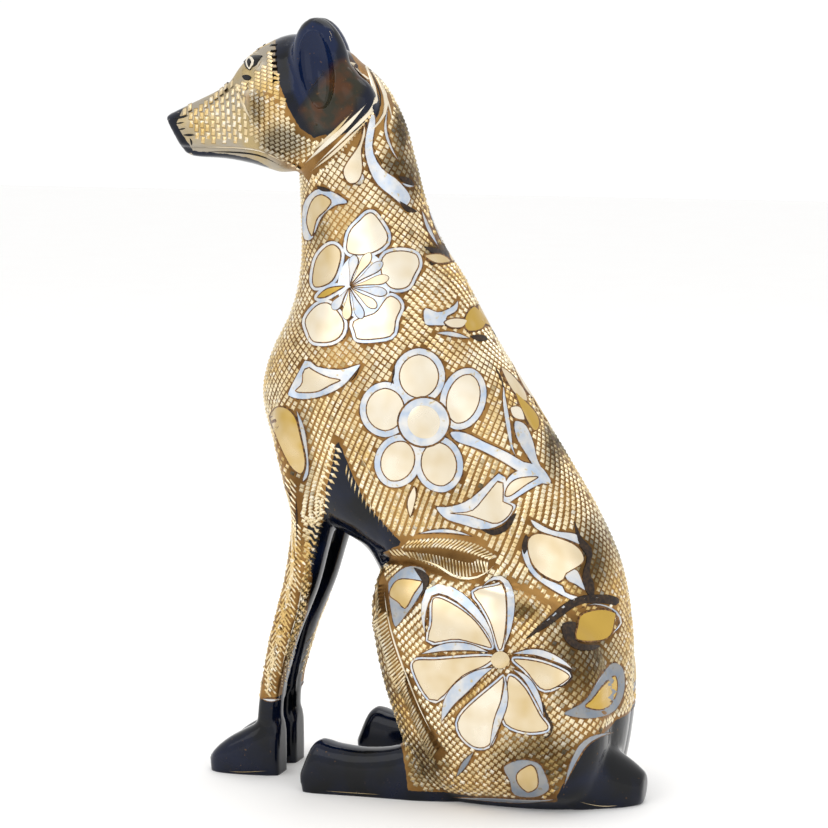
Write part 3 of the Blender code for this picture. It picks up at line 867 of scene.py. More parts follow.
def piece_of(name, points, faces, attributes, clean=True):
    """A piece in millimetres with its point attributes, its doubles merged and its faces outward."""
    mesh = bpy.data.meshes.new(name)
    mesh.from_pydata(points.reshape(-1, 3).tolist(), [], faces.tolist())
    for label, values in attributes.items():
        layer = mesh.attributes.new(label, "FLOAT", "POINT")
        layer.data.foreach_set("value", np.ascontiguousarray(values, np.float32).ravel())
    if clean:
        bm = bmesh.new()
        bm.from_mesh(mesh)
        bmesh.ops.remove_doubles(bm, verts=bm.verts, dist=MERGE_WITHIN)
        bmesh.ops.recalc_face_normals(bm, faces=bm.faces)
        bm.to_mesh(mesh)
        bm.free()
    write_points(mesh, read_points(mesh) * MILLIMETRE)
    made = bpy.data.objects.new(name, mesh)
    bpy.context.scene.collection.objects.link(made)
    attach(made, "root")
    print(name, len(mesh.polygons), "faces")
    return made


def plate_piece(name, layers):
    """One piece from several layers of plates: banks, height and crown in millimetres, and tones."""
    points, rims, tones = [], [], []
    for pairs, height, crown, tone in layers:
        made, rim = plates(pairs, height, crown)
        points.append(made)
        rims.append(rim)
        each = np.broadcast_to(np.asarray(tone, float).reshape(-1, 1, 1), (len(pairs),) + rim.shape[1:])
        tones.append(np.concatenate([each, each]))
    points = np.concatenate(points)
    faces = tube_faces(*points.shape[:3])
    return piece_of(name, points, faces, {"rim": np.concatenate(rims), "tone": np.concatenate(tones)})


# %% [markdown]
# ### Gold, silver and dark plates
# The heights step up from the dark line to the silver border and the gold fill. In a layer of plates that overlap,
# each stands a hair higher than the last, so that no two tops lie in one plane.

# %% Banks of every shape
FLOWER_FILLS = NECK_FLOWER + FLANK_FLOWER + THIGH_FLOWER
FILLS = FLOWER_FILLS + LEAVES
BORDERS = [4.0] * len(NECK_FLOWER) + [7.0] * len(FLANK_FLOWER) + [3.0] * len(THIGH_FLOWER)
# Pixels of dark line that show round a border, a fill, a rib, a ray and the flank's button.
BORDER_RIM, FILL_RIM, RIB_RIM, RAY_RIM, BUTTON_RIM = 1.3, 1.2, 1.1, 0.6, 2
FLANK_BUTTON, FLANK_RING, THIGH_BUTTON = 17, 25, 9.5
HAIR = 0.001  # millimetres
fill_banks = [banks(outline) for tone, outline in FILLS]
fill_rims = [banks(outline, FILL_RIM) for tone, outline in FILLS]
fill_tones = [tone for tone, outline in FILLS]
gold_line_banks = [ribbon(line, half_width) for half_width, tone, line in GOLD_LINES]
gold_line_tones = [tone for half_width, tone, line in GOLD_LINES]
dark_line_banks = [ribbon(line, half_width) for half_width, line in DARK_LINES]
border_tones = [0.0] * len(BORDERS)
border_tones += [tone for tone, outline in SILVER_SHAPES]
border_tones += [tone for half_width, tone, line in SILVER_BANDS]


def silver_banks(extra):
    """Borders of the flowers, silver shapes and silver bands, all made wider by extra pixels."""
    made = [banks(outline, border + extra) for (tone, outline), border in zip(FLOWER_FILLS, BORDERS)]
    made += [banks(outline, extra) for tone, outline in SILVER_SHAPES]
    return made + [ribbon(line, half_width, extra) for half_width, tone, line in SILVER_BANDS]


border_banks, rim_banks = silver_banks(0.0), silver_banks(BORDER_RIM)
shade_shape_banks = [banks(outline) for outline in SHADE_SHAPES]
shade_edge_banks = [ribbon(line, half_width) for half_width, line in SHADE_EDGES]
rib_banks = [ribbon(line, half_width) for half_width, line in THIGH_RIBS]
rib_rims = [ribbon(line, half_width, RIB_RIM) for half_width, line in THIGH_RIBS]
ray_drops = [(metal, drop(NECK_RAYS_FROM, end, RAY_WIDTH)) for metal, *end in NECK_RAYS]
silver_rays, gold_rays = ([banks(ray) for metal, ray in ray_drops if metal == wanted] for wanted in (0, 1))
ray_rims = [banks(ray, RAY_RIM) for metal, ray in ray_drops]
buttons = [
    banks(oval(*FLANK_MIDDLE, FLANK_BUTTON, FLANK_BUTTON)),
    banks(oval(*THIGH_MIDDLE, THIGH_BUTTON, THIGH_BUTTON)),
]
button_ring = [banks(oval(*FLANK_MIDDLE, FLANK_RING, FLANK_RING))]
button_rim = [banks(oval(*FLANK_MIDDLE, FLANK_RING + BUTTON_RIM, FLANK_RING + BUTTON_RIM))]

# %% The three pieces of plates
gold_plates = plate_piece(
    "gold_plates",
    [
        (fill_banks, 0.50, 0.06, fill_tones),
        (buttons, 0.85, 0.3, (0.15, 0.6)),
        (gold_rays, 0.80, 0.1, 0.3),
        # Some of these lines are painted highlights on the ear, the foreleg and the belly's edge.
        (gold_line_banks, 0.40, 0.0, gold_line_tones),
        ([banks(EYE_WHITE)], 0.60, 0.3, 0.0),
    ],
)
silver_plates = plate_piece(
    "silver_plates",
    [([pair], 0.32 + 2 * HAIR * i, 0.0, tone) for i, (pair, tone) in enumerate(zip(border_banks, border_tones))]
    + [(button_ring, 0.70, 0.0, 0.0), (rib_banks, 0.84, 0.0, 0.1), (silver_rays, 0.78, 0.1, 0.2)],
)
dark_plates = plate_piece(
    "dark_rims_and_painted_shade",
    [([pair], 0.12 + HAIR * i, 0.0, 0.0) for i, pair in enumerate(rim_banks)]
    + [
        (fill_rims, 0.44, 0.0, 0.0),
        (rib_rims + ray_rims, 0.66, 0.0, 0.0),
        (button_rim, 0.62, 0.0, 0.0),
        # Painted shade: dark shapes beside the leaves and dark edges along petals.
        (shade_shape_banks, 0.42, 0.0, 0.85),
        (shade_edge_banks, 0.62, 0.0, 0.8),
        (dark_line_banks, 0.34, 0.0, 1.0),
        ([banks(EYE_SHAPE), banks(TEAR)], 0.36, 0.1, 1.0),
        ([banks(EYE_PUPIL)], 0.95, 0.2, 1.0),
    ],
)

# %% [markdown]
# ## The punched ground
# Between the ornaments a chaser cuts two sets of crossing lines, and what is left standing are rows of small
# four-sided studs, about 2.3 mm apart. Each stud here is a low closed pyramid of six triangles, set in staggered
# rows round the body, the legs and the head.

# %% Studs in staggered rows
STUD_PITCH, HEAD_PITCH, LEG_PITCH = 2.35, 1.9, 2.0
WRAP_SQUARENESS = 2.2
ROW_STEPS = 12
# The trunk and the haunches together, as one form to lay the rows round.
BODY_WRAP = (
    (2, 2, 96, 2, 0, 40),
    (2, 30, 98, 22, 0, 47),
    (-2, 58, 101, 46, 0, 48.5),
    (-6, 84, 100.5, 72, 0, 47),
    (-15, 102, 96, 98, 0, 41),
) + TRUNK[6:]


def rows_round(table, pitch, squareness):
    """Studs in staggered rows: rows half a diagonal apart along the form, studs a whole diagonal apart round it."""
    rings = loft_rings(table, squareness, per_span=ROW_STEPS)
    spine = rings.mean(axis=1)
    run = np.concatenate([[0], np.cumsum(np.linalg.norm(np.diff(spine, axis=0), axis=1))])
    levels = np.arange(0, run[-1], pitch / math.sqrt(2))
    wanted = np.interp(levels, run, np.arange(len(run)))
    low = np.minimum(wanted.astype(int), len(rings) - 2)
    part = (wanted - low)[:, None, None]
    rows = rings[low] * (1 - part) + rings[low + 1] * part
    studs = []
    diagonal = pitch * math.sqrt(2)
    for number, ring in enumerate(rows):
        loop = np.roll(ring, -(RING_POINTS // 4), axis=0)
        loop = np.vstack([loop, loop[:1]])
        length = np.concatenate([[0], np.cumsum(np.linalg.norm(np.diff(loop, axis=0), axis=1))])
        half = length[len(loop) // 2]
        across = np.arange(0.5 * (number % 2), half / diagonal / 2) * diagonal
        stops = np.concatenate([across, half - across[::-1], half + across, length[-1] - across[::-1]])
        studs.append(np.stack([np.interp(stops, length, loop[:, k]) for k in range(3)], axis=1))
    return np.vstack(studs)


body_studs = rows_round(BODY_WRAP, STUD_PITCH, WRAP_SQUARENESS) + TO_MIDDLE
head_studs = turned(rows_round(HEAD[1:8], HEAD_PITCH, WRAP_SQUARENESS)) + TO_MIDDLE
leg_studs = rows_round(FORELEG[4:11], LEG_PITCH, LEG_SQUARENESS)
leg_studs = np.vstack([leg_studs, leg_studs * (1, -1, 1)]) + TO_MIDDLE
print("studs laid out:", len(body_studs), "on the body,", len(head_studs), "on the head and", end=" ")
print(len(leg_studs), "on the legs")

# %% [markdown]
# ### Where the ground stops
# The chaser leaves the ornaments, the face, the collar and the hatched fold, knee and foreleg free of studs.


# %% Where the ground is left bare
def inside(outline, pixels):
    """True where a ray to the right crosses the outline an odd number of times."""
    closed = np.vstack([outline, outline[:1]])
    x, y = pixels[:, 0], pixels[:, 1]
    odd = np.zeros(len(pixels), bool)
    for (x0, y0), (x1, y1) in zip(closed, closed[1:]):
        if y0 != y1:
            crosses = ((y0 > y) != (y1 > y)) & (x < x0 + (y - y0) * (x1 - x0) / (y1 - y0))
            odd ^= crosses
    return odd


FOLD = ((380, 556), (384, 546), (403, 536), (442, 532), (473, 532), (500, 554), (496, 568), (480, 583), (450, 582),
    (417, 566), (384, 564))
KNEE_BAND = ((374, 560), (384, 562), (389, 612), (400, 652), (422, 708), (446, 756), (438, 764), (414, 726),
    (392, 676), (379, 630), (373, 590))
FORELEG_HATCH = ((252, 470), (300, 476), (305, 560), (298, 612), (286, 652), (283, 708), (250, 708), (250, 600))
FACE = ((150, 90), (240, 36), (276, 28), (279, 82), (288, 108), (299, 127), (316, 142), (303, 174), (250, 178),
    (180, 165))
COLLAR = ((343, 38), (364, 50), (394, 104), (390, 124), (350, 150), (308, 178), (298, 170), (330, 134), (352, 114),
    (366, 92))
BARE = [np.vstack([pair[0], pair[1][::-1]]) for pair in rim_banks + fill_banks + shade_shape_banks]
BARE += [np.array(shape, float) for shape in (FOLD, KNEE_BAND, FORELEG_HATCH, COLLAR)]

# %% [markdown]
# ### Where the lacquer is
# The black enamel is brushed on last, over ears, nose, lip, feet, tail and all that faces inward between the legs.
# Outlines of the picture say where it ends on the side that shows, and a few planes say it for the rest.

# %% Outlines and planes of the lacquer
LACQUER_SHAPES = {
    "elbow, feet and arch": (
        (337, 438), (331, 471), (326, 487), (325, 506), (323, 522), (322, 538), (315, 560), (309, 600), (306, 623),
        (297, 655), (291, 677), (283, 707), (259, 703), (240, 698), (195, 745), (200, 800), (409, 800), (406, 772),
        (402, 748), (388, 715), (372, 680), (366, 620), (370, 568), (384, 552), (402, 544), (384, 524), (366, 503),
        (354, 478), (345, 456),
    ),
    "ear": (
        (276, 30), (275, 60), (279, 82), (288, 108), (299, 127), (314, 138), (332, 132), (350, 116), (361, 103),
        (365, 90), (359, 68), (345, 44), (336, 4), (300, 4),
    ),
    "nose": ((158, 108), (166, 109), (174, 120), (183, 135), (193, 150), (188, 154), (158, 126)),
    "lower lip": (
        (190, 150), (200, 151.5), (226, 153.5), (246, 157), (258, 161), (270, 167.5), (262, 170), (244, 170),
        (230, 172), (196, 162),
    ),
    "tail": (
        (557, 796), (566, 778), (576, 756), (589, 739), (604, 735), (618, 733), (680, 740), (680, 830), (557, 830),
    ),
    "nape": ((361, 58), (369, 58), (375, 67), (372, 70), (363, 62)),
}
PIXELS_PER_MM = 2.44
OUTSIDE = -99  # far outside, in millimetres
HEAD_ABOVE, NOSE_X, NOSE_LEAN, NOSE_AT = 260, -101.5, 0.4, 280
FOREFEET_BEFORE, CUFF_TOP, CUFF_LEAN, CUFF_AT = -44, 34, 0.2, -60
HINDFEET, HINDFEET_TOP, HINDFEET_BACK = (-42, 8), 27, 4
TAIL_FROM, TAIL_LEAN, TAIL_TOP = 78, 0.55, 36
ARCH, ARCH_TOP, ARCH_SIDE = (-36, 8), 114, 27
FORELEGS_BEFORE, FORELEGS_BELOW, FORELEGS_SIDE = -30, 102, 12
SOLES = 4.5
EAR_RIM, EAR_ASIDE = 1.0, 2


def inside_by(outline, pixels):
    """Millimetres inside an outline of the picture, below zero outside it."""
    closed = np.vstack([outline, outline[:1]]).astype(float)
    distance = away_from(closed, pixels[:, 0], pixels[:, 1]) / PIXELS_PER_MM
    return np.where(inside(np.array(outline, float), pixels), distance, -distance)


def on_the_left(points):
    """Points of the right side carried to the left, where the drawing is."""
    return np.where((points[:, 1] > 0)[:, None], mirrored(points), points)


def lacquered(points):
    """Millimetres inside the black lacquer, below zero outside it."""
    flat = turned(points - TO_MIDDLE, -share_of_turn(points))
    x, y, z = flat[:, 0], np.abs(flat[:, 1]), flat[:, 2]
    forward = -FAR_EAR_FORWARD * (flat[:, 1] > 0)
    parts = []
    for ball_x, ball_y, ball_z, half_x, half_y, half_z in EAR_BALLS:
        ear_x, ear_z = x - ball_x - forward, z - ball_z
        lean_x = (ear_x * math.cos(EAR_LEAN) - ear_z * math.sin(EAR_LEAN)) / (half_x + EAR_RIM)
        lean_z = (ear_z * math.cos(EAR_LEAN) + ear_x * math.sin(EAR_LEAN)) / (half_z + EAR_RIM)
        aside = (y + ball_y) / (half_y + EAR_ASIDE)
        parts.append((1 - np.sqrt(lean_x**2 + lean_z**2 + aside**2)) * half_y)
    nose = NOSE_X + NOSE_LEAN * (z - NOSE_AT) - x
    forefeet = CUFF_TOP + CUFF_LEAN * (x - CUFF_AT) - z
    hindfeet = np.minimum(HINDFEET_TOP - z, HINDFEET_BACK - x)
    parts += [
        np.where(z > HEAD_ABOVE, nose, OUTSIDE),
        np.where(x < FOREFEET_BEFORE, forefeet, OUTSIDE),
        np.where((x > HINDFEET[0]) & (x < HINDFEET[1]), hindfeet, OUTSIDE),
        np.minimum(x - (TAIL_FROM + TAIL_LEAN * z), TAIL_TOP - z),
        np.where((x > ARCH[0]) & (x < ARCH[1]) & (z < ARCH_TOP), ARCH_SIDE - y, OUTSIDE),
        np.where((x < FORELEGS_BEFORE) & (z < FORELEGS_BELOW), FORELEGS_SIDE - y, OUTSIDE),
        SOLES - z,
    ]
    pixels = seen_at(on_the_left(points))
    parts += [inside_by(shape, pixels) for shape in LACQUER_SHAPES.values()]
    return np.max(parts, axis=0)


# %% [markdown]
# ### Painted shade, pale metal and painted reflections on the ear
# Patches of the ground are painted darker where shade falls, and the face is rubbed down to pale straw brass.
# The ear's cup has a painted navy reflection, and its root a painted olive-brown reflection.

# %% Patches of painted shade, pale metal and painted reflections
PALE_SHAPES = (
    ((150, 90), (240, 36), (276, 28), (278, 80), (262, 92), (246, 96), (256, 130), (262, 148), (300, 175),
        (250, 178), (180, 165)),
)
# Where the ground is painted darker as painted shade: middle, half width and half height in pixels, and how dark.
PAINTED_SHADE_PATCHES = (
    (256, 108, 12, 26, 0.7), (282, 142, 34, 24, 0.85), (400, 176, 30, 40, 0.7), (402, 128, 12, 34, 0.8),
    (442, 250, 26, 12, 0.8), (554, 440, 14, 44, 0.7), (530, 345, 20, 60, 0.45),
    (440, 560, 62, 18, 0.5), (386, 650, 14, 90, 0.25), (590, 560, 30, 50, 0.7), (580, 660, 50, 60, 0.7),
    (540, 760, 60, 40, 0.6), (424, 764, 30, 34, 0.6), (300, 450, 16, 60, 0.5), (318, 230, 16, 26, 0.4),
    (520, 610, 30, 12, 0.6),
)
# Painted reflections on the ear: navy in its cup and olive brown at its root.
EAR_CUP_REFLECTION = ((288, 60), (294, 36), (312, 21), (330, 28), (338, 44), (334, 60), (318, 80), (300, 106), (292, 90))
EAR_ROOT_REFLECTION = ((300, 110), (322, 82), (338, 62), (352, 58), (364, 88), (352, 114), (332, 130), (314, 134))
SHADE_SLOPE = 1.6  # a patch is whole up to 1 - 1/1.6 of the way from its middle to its rim
FACING, STUD_MARGIN = 0.12, 1.0  # an ornament hides studs only where the skin faces the camera by at least the first


def painted_shade_at(points):
    """Painted shade: 0 on bright metal to 1 in the middle of the darkest patches: strength times the rest of the way to
    the rim.
    """
    pixels = seen_at(on_the_left(points))
    shares = []
    for x, y, half_width, half_height, strength in PAINTED_SHADE_PATCHES:
        way = np.hypot((pixels[:, 0] - x) / half_width, (pixels[:, 1] - y) / half_height)
        shares.append(strength * np.clip(SHADE_SLOPE * (1 - way), 0, 1))
    return np.max(shares, axis=0)


def within(shapes, points, soft):
    """0 outside the outlines to 1 inside them, over a soft edge some millimetres wide."""
    pixels = seen_at(on_the_left(points))
    return np.clip(np.max([inside_by(shape, pixels) for shape in shapes], axis=0) / soft + 0.5, 0, 1)


def bare(points, normals):
    """True where a stud would stand on the face, on lacquer, or on an ornament that faces the camera."""
    pixels = seen_at(on_the_left(points))
    covered = (lacquered(points) > -STUD_MARGIN) | inside(np.array(FACE, float), pixels)
    outward = np.where((points[:, 1] > 0)[:, None], normals * (1, -1, 1), normals)
    facing = outward @ toward_eye > FACING
    for outline in BARE:
        covered |= inside(outline, pixels) & facing
    return covered


# %% [markdown]
# ### Studs
# What stands between two cuts is a low pyramid, pointed like a diamond or square like a block, closed underneath
# and sunk a little into the skin. The studs vary by a few hundredths of a millimetre, as hand punches do.


# %% Studs as closed pyramids
def pyramids(name, places, normals, along, half_length, half_width, height, dark, block, sink):
    """Four corners, sunk a little, and one tip: corner = a times the length along + b times the width across.

    For a diamond (a, b) runs (-1, 0) (0, -1) (1, 0) (0, 1), and for a block (-1, -1) (1, -1) (1, 1) (-1, 1).
    """
    count = len(places)
    along = along - normals * (along * normals).sum(axis=1, keepdims=True)
    along = along / np.maximum(np.linalg.norm(along, axis=1, keepdims=True), 1e-9)
    across = np.cross(normals, along)
    length, width, tall, dark, block = (
        np.broadcast_to(np.asarray(value, float), count)[:, None]
        for value in (half_length, half_width, height, dark, block)
    )
    share_along = (np.array((-1, 0, 1, 0)) + block * np.array((0, 1, 0, -1))) * length
    share_across = (np.array((0, -1, 0, 1)) + block * np.array((-1, 0, 1, 0))) * width
    feet = (places - normals * sink)[:, None] + along[:, None] * share_along[..., None]
    feet = feet + across[:, None] * share_across[..., None]
    corners = np.concatenate([feet, (places + normals * tall)[:, None]], axis=1)
    index = np.arange(count * 5).reshape(-1, 5)
    sides = np.concatenate([index[:, [i, (i + 1) % 4, 4]] for i in range(4)])
    base = np.concatenate([index[:, [3, 2, 1]], index[:, [3, 1, 0]]])
    lift = np.broadcast_to(np.array((0, 0, 0, 0, 1.0)), (count, 5))
    values = {"lift": lift, "dark": np.broadcast_to(dark, (count, 5))}
    return piece_of(name, corners, np.vstack([sides, base]), values, clean=False)


POINTED, SQUARE = 0, 1
POINTED_SINK, SQUARE_SINK = 0.1, 0.02
FARTHEST_DROP = 16  # millimetres from where a stud is laid out to the skin
STUD_HALF, STUD_HEIGHT = 1.6, 0.6
STUD_SPREAD = (0.86, 1.06)
STUD_LEAN = (-0.35, 0.0, 1.0)
SPOTTING, DARKEST = 0.09, 0.9

chance = np.random.default_rng(7)
laid_out = np.vstack([body_studs, head_studs, leg_studs])
stud_places, stud_normals = touching(laid_out)
close = np.linalg.norm(stud_places - laid_out, axis=1) < FARTHEST_DROP
good = close & ~bare(stud_places, stud_normals)
stud_places, stud_normals = stud_places[good], stud_normals[good]
spread = chance.uniform(*STUD_SPREAD, len(stud_places))
spots = chance.exponential(SPOTTING, len(stud_places))
studs = pyramids(
    "ground_studs",
    stud_places,
    stud_normals,
    np.broadcast_to(STUD_LEAN, stud_places.shape),
    half_length=STUD_HALF * spread,
    half_width=STUD_HALF * spread,
    height=STUD_HEIGHT * spread,
    # The studs' darkness is painted shade from the patches, with random spots.
    dark=np.clip(painted_shade_at(stud_places) + spots, 0, DARKEST),
    block=POINTED,
    sink=POINTED_SINK,
)
print(len(stud_places), "studs kept")

# %% [markdown]
# ## Strokes of the chisel
# Fur, feathers and grain are single cuts: the fringe of the belly, the flutes of the fold over the thigh,
# the teeth behind the foreleg, the grain down its front and the rows of ticks along the muzzle.
# Each stroke is a pyramid drawn out along its own line, from one pixel of the picture to another.


# %% Strokes between two lines of the picture
def between(starts, ends, pitch, slip):
    """Start and end pixels of strokes from one line to another, a pitch apart, the ends slipped ahead by a share."""
    first, second = flowing(starts, 10), flowing(ends, 10)
    length = np.linalg.norm(np.diff(first, axis=0), axis=1).sum()
    count = int(length / pitch)
    stops = (np.arange(count) + 0.5) / count
    return evenly(first, stops), evenly(second, np.clip(stops + slip, 0, 1))


def hung(line, pitch, reach):
    """Strokes hung from a line, all reaching the same way."""
    smooth = flowing(line, 10)
    count = int(np.linalg.norm(np.diff(smooth, axis=0), axis=1).sum() / pitch)
    starts = evenly(smooth, (np.arange(count) + 0.5) / count)
    return starts, starts + np.array(reach, float)


def lattice(outline, pitch_x, pitch_y, reach, lean=0.0):
    """Strokes in rows and columns inside an outline, every other column half a row down."""
    outline = np.array(outline, float)
    low, high = outline.min(axis=0), outline.max(axis=0)
    columns, rows = int((high[0] - low[0]) / pitch_x) + 1, int((high[1] - low[1]) / pitch_y) + 2
    column, row = np.meshgrid(np.arange(columns), np.arange(rows), indexing="ij")
    x = low[0] + column * pitch_x + lean * row * pitch_y
    y = low[1] + (row - 0.5 * (column % 2)) * pitch_y
    middles = np.stack([x.ravel(), y.ravel()], axis=1)
    middles = middles[inside(outline, middles)]
    half = np.array(reach, float) / 2
    return middles - half, middles + half


LONGEST = 13  # millimetres; a longer stroke has its two ends on different limbs
STROKE_SHADE = 0.8  # the share of the painted shade's darkness that a stroke takes


def strokes(name, sets):
    """Pyramids along strokes of the picture, on both sides: the strokes, half width, height, darkness and shape."""
    parts = []
    for (starts, ends), half_width, height, dark, block in sets:
        first, _ = under(starts)
        last, _ = under(ends)
        whole = np.linalg.norm(last - first, axis=1) < LONGEST
        first, last = first[whole], last[whole]
        for one, other in ((first, last), (mirrored(first), mirrored(last))):
            places, normals = touching((one + other) / 2)
            half_length = np.linalg.norm(other - one, axis=1) / 2
            # Strokes take on the painted shade of the patches.
            dark_each = np.maximum(dark, painted_shade_at(places) * STROKE_SHADE)
            same = [np.full(len(places), value) for value in (half_width, height)]
            parts.append((places, normals, other - one, half_length, *same, dark_each, np.full(len(places), block)))
    columns = [np.concatenate(column) for column in zip(*parts)]
    return pyramids(name, *columns, sink=np.where(columns[-1] > 0, SQUARE_SINK, POINTED_SINK)[:, None])


FORELEG_FRONT = ((262, 480), (296, 480), (300, 560), (297, 600), (290, 632), (279, 668), (275, 694), (258, 694),
    (262, 640), (276, 590), (278, 540))
FORELEG_BACK = ((306, 566), (313, 566), (306, 605), (303, 625), (293, 657), (287, 678), (281, 692), (279, 690),
    (288, 650), (299, 610))
MUZZLE_SCALES = ((183, 112), (206, 99), (232, 84), (240, 80), (246, 100), (252, 143), (226, 142), (202, 142),
    (192, 130))
CHEEK = ((246, 92), (262, 88), (286, 112), (298, 132), (318, 142), (306, 160), (298, 170), (276, 158), (252, 142))
BROW = ((266, 62), (274, 44), (277, 80), (282, 96), (286, 110), (266, 90), (238, 90), (238, 83), (252, 80),
    (254, 72))
CROWN = ((238, 52), (258, 40), (272, 34), (272, 46), (262, 49), (246, 52))
BRIGHT, DULL, BLACK = 0.0, 0.1, 1.0

# Each set is its strokes, their half width and height in millimetres, their darkness and their shape.
belly_fringe = hung(((346, 460), (352, 474), (361, 487), (373, 503), (396, 526)), 6.4, (-1.5, 14))
under_fold = between(
    ((388, 549), (406, 549), (439, 550), (467, 556), (489, 562)),
    ((390, 558), (415, 563), (439, 571), (462, 580), (487, 574)),
    3.4, 0.05,
)
over_fold = between(
    ((400, 548), (439, 548), (467, 553), (489, 560)), ((404, 541), (440, 538), (476, 543), (497, 556)), 3.5, 0.05
)
knee_flutes = between(
    ((376, 572), (374, 612), (384, 650), (397, 690), (414, 732), (430, 762)),
    ((382, 566), (387, 606), (397, 645), (411, 684), (428, 722), (441, 752)),
    3.5, -0.02,
)
outer_teeth = hung(
    ((335, 444), (330, 471), (324, 487), (321, 506), (315, 522), (311, 540), (306, 562)), 6.2, (8, 6)
)
inner_teeth = hung(
    ((328, 440), (322, 471), (316, 487), (313, 506), (308, 522), (304, 540), (299, 562)), 6.0, (9, 7)
)
lacquer_teeth = hung(((277, 42), (277, 60), (279, 84)), 5.4, (-6.5, 0.2))
collar_teeth = hung(((372, 110), (357, 128), (340, 148), (322, 167), (310, 180)), 4.6, (4, 4))
stroke_sets = [
    (belly_fringe, 0.5, 0.7, BRIGHT, POINTED),
    (under_fold, 0.5, 0.8, BRIGHT, SQUARE),
    (over_fold, 0.5, 0.7, BRIGHT, SQUARE),
    (knee_flutes, 0.5, 0.5, BRIGHT, SQUARE),
    (outer_teeth, 1.1, 0.7, BRIGHT, POINTED),
    (inner_teeth, 1.0, 0.6, BRIGHT, POINTED),
    (lattice(FORELEG_FRONT, 5.0, 5.6, (6.6, 8.6)), 0.5, 0.5, BRIGHT, SQUARE),
    (lattice(FORELEG_BACK, 3.2, 3.2, (2.4, 2.4)), 0.45, 0.35, BRIGHT, POINTED),
    (lattice(MUZZLE_SCALES, 5.4, 8.0, (-0.6, 7.6), 0.06), 1.0, 0.36, DULL, SQUARE),
    (lattice(CHEEK, 5.2, 4.4, (4.4, -2.2)), 0.85, 0.6, BRIGHT, SQUARE),
    (lattice(BROW, 6.4, 3.8, (6.0, 2.2)), 0.74, 0.36, BRIGHT, SQUARE),
    (lattice(CROWN, 5.0, 3.4, (4.6, -2.0)), 0.66, 0.3, BRIGHT, SQUARE),
    (lacquer_teeth, 0.8, 0.3, BLACK, SQUARE),
    (collar_teeth, 1.0, 0.9, BRIGHT, POINTED),
]
fur = strokes("fur_strokes", stroke_sets)

# %% [markdown]
# ## Finishes
# Six finishes, each begun from the real one. The casting is a yellow brass of copper and zinc: where it is polished
# it mirrors a bright room as pale cream, and where it is cut and darkened it turns to bronze brown.
# The borders are silvered brass, with a little blue painted into their colour as a reflection. The lacquer is a black
# enamel paint with a wet gloss, rubbed through to the metal in specks.


# %% Colours and nodes
def linear(hex_colour):
    """An sRGB hex colour as linear light, by the standard curve."""
    value = np.array([int(hex_colour[i : i + 2], 16) / 255 for i in (1, 3, 5)])
    light = np.where(value <= 0.04045, value / 12.92, ((value + 0.055) / 1.055) ** 2.4)
    return (*light, 1.0)


def node(tree, kind, values, output=None):
    """Adds a node and returns its output by name, or else its first one.

    A value is a setting of the node or of a socket. "#rrggbb" is a colour, and an output of another node is linked.
    """
    made = tree.nodes.new("ShaderNode" + kind)
    for name, value in values.items():
        if isinstance(name, str) and hasattr(made, name):
            setattr(made, name, value)
            continue
        in_use = [socket for socket in made.inputs if socket.enabled]
        socket = in_use[name] if isinstance(name, int) else next(each for each in in_use if each.name == name)
        if isinstance(value, bpy.types.NodeSocket):
            tree.links.new(value, socket)
        else:
            socket.default_value = linear(value) if isinstance(value, str) else value
    outputs = [socket for socket in made.outputs if socket.enabled]
    return next((socket for socket in outputs if output in (None, socket.name)), None)


def finish_from(name, marks, noises, numbers, colours, surface, relief=None):
    """A material from tables, in which a label stands for what is made under it.

    marks: numbers kept on the points. noises: the size of a blotch in millimetres, and the detail.
    numbers: a soft step, as (from, low, high, out low, out high), or a sum, as (OPERATION, first, second, third).
    colours: a first colour, then what is laid over it as (share, colour). relief: height, depth in mm, strength.
    """
    material = bpy.data.materials.new(name)
    material.use_nodes = True
    tree = material.node_tree
    tree.nodes.clear()
    place = node(tree, "TexCoord", {}, "Object")
    made = {label: node(tree, "Attribute", {"attribute_name": label}, "Fac") for label in marks}
    for label, (size_mm, detail) in noises.items():
        scale = 1 / (size_mm * MILLIMETRE)
        made[label] = node(tree, "TexNoise", {"Vector": place, "Scale": scale, "Detail": detail})
    for label, (first, *others) in numbers.items():
        if first in made:
            ends = zip(("From Min", "From Max", "To Min", "To Max"), others)
            made[label] = node(tree, "MapRange", {"Value": made[first], **dict(ends)})
        else:
            terms = {i: made.get(term, term) for i, term in enumerate(others)}
            made[label] = node(tree, "Math", {"operation": first, **terms})
    for label, (colour, *coats) in colours.items():
        colour = made.get(colour, colour)
        for share, coat in coats:
            coat = made.get(coat, coat)
            colour = node(tree, "Mix", {"data_type": "RGBA", "Factor": made[share], "A": colour, "B": coat})
        made[label] = colour
    values = {label: made.get(value, value) for label, value in surface.items()}
    if relief:
        height, depth_mm, strength = relief
        bumps = {"Height": made[height], "Distance": depth_mm * MILLIMETRE, "Strength": strength}
        values["Normal"] = node(tree, "Bump", bumps)
    node(tree, "OutputMaterial", {"Surface": node(tree, "BsdfPrincipled", values)})
    return material


# %% [markdown]
# ### Polished brass of the fills
# The fills were filed flat and buffed, and wide soft patches of cream and amber are painted into their colour as
# reflections of the room.
# The real metal is bare brass of about two parts copper to one of zinc, which shows here as cream where it is bright.
# The eye gets a thin brown cut line at their edge, hammer waves a few millimetres wide and a soft gleam.

# %% Polished brass
polished = finish_from(
    "polished_brass",
    marks=("tone", "rim"),
    noises={"waves": (9, 1.0)},
    numbers={
        # The waves paint amber patches into the colour as reflections.
        "painted_reflection": ("MULTIPLY_ADD", "waves", 0.7, -0.30),
        "warmth": ("ADD", "painted_reflection", "tone"),
        "edge": ("rim", 0.35, 0.95, 1.0, 0.0),
        "gleam": ("waves", 0.3, 0.7, 0.26, 0.34),
    },
    colours={"brass": ("#F0E7D4", ("warmth", "#C2A04E"), ("edge", "#4A2E12"))},
    surface={"Base Color": "brass", "Metallic": 1.0, "Roughness": "gleam"},
    relief=("waves", 0.3, 0.2),
)
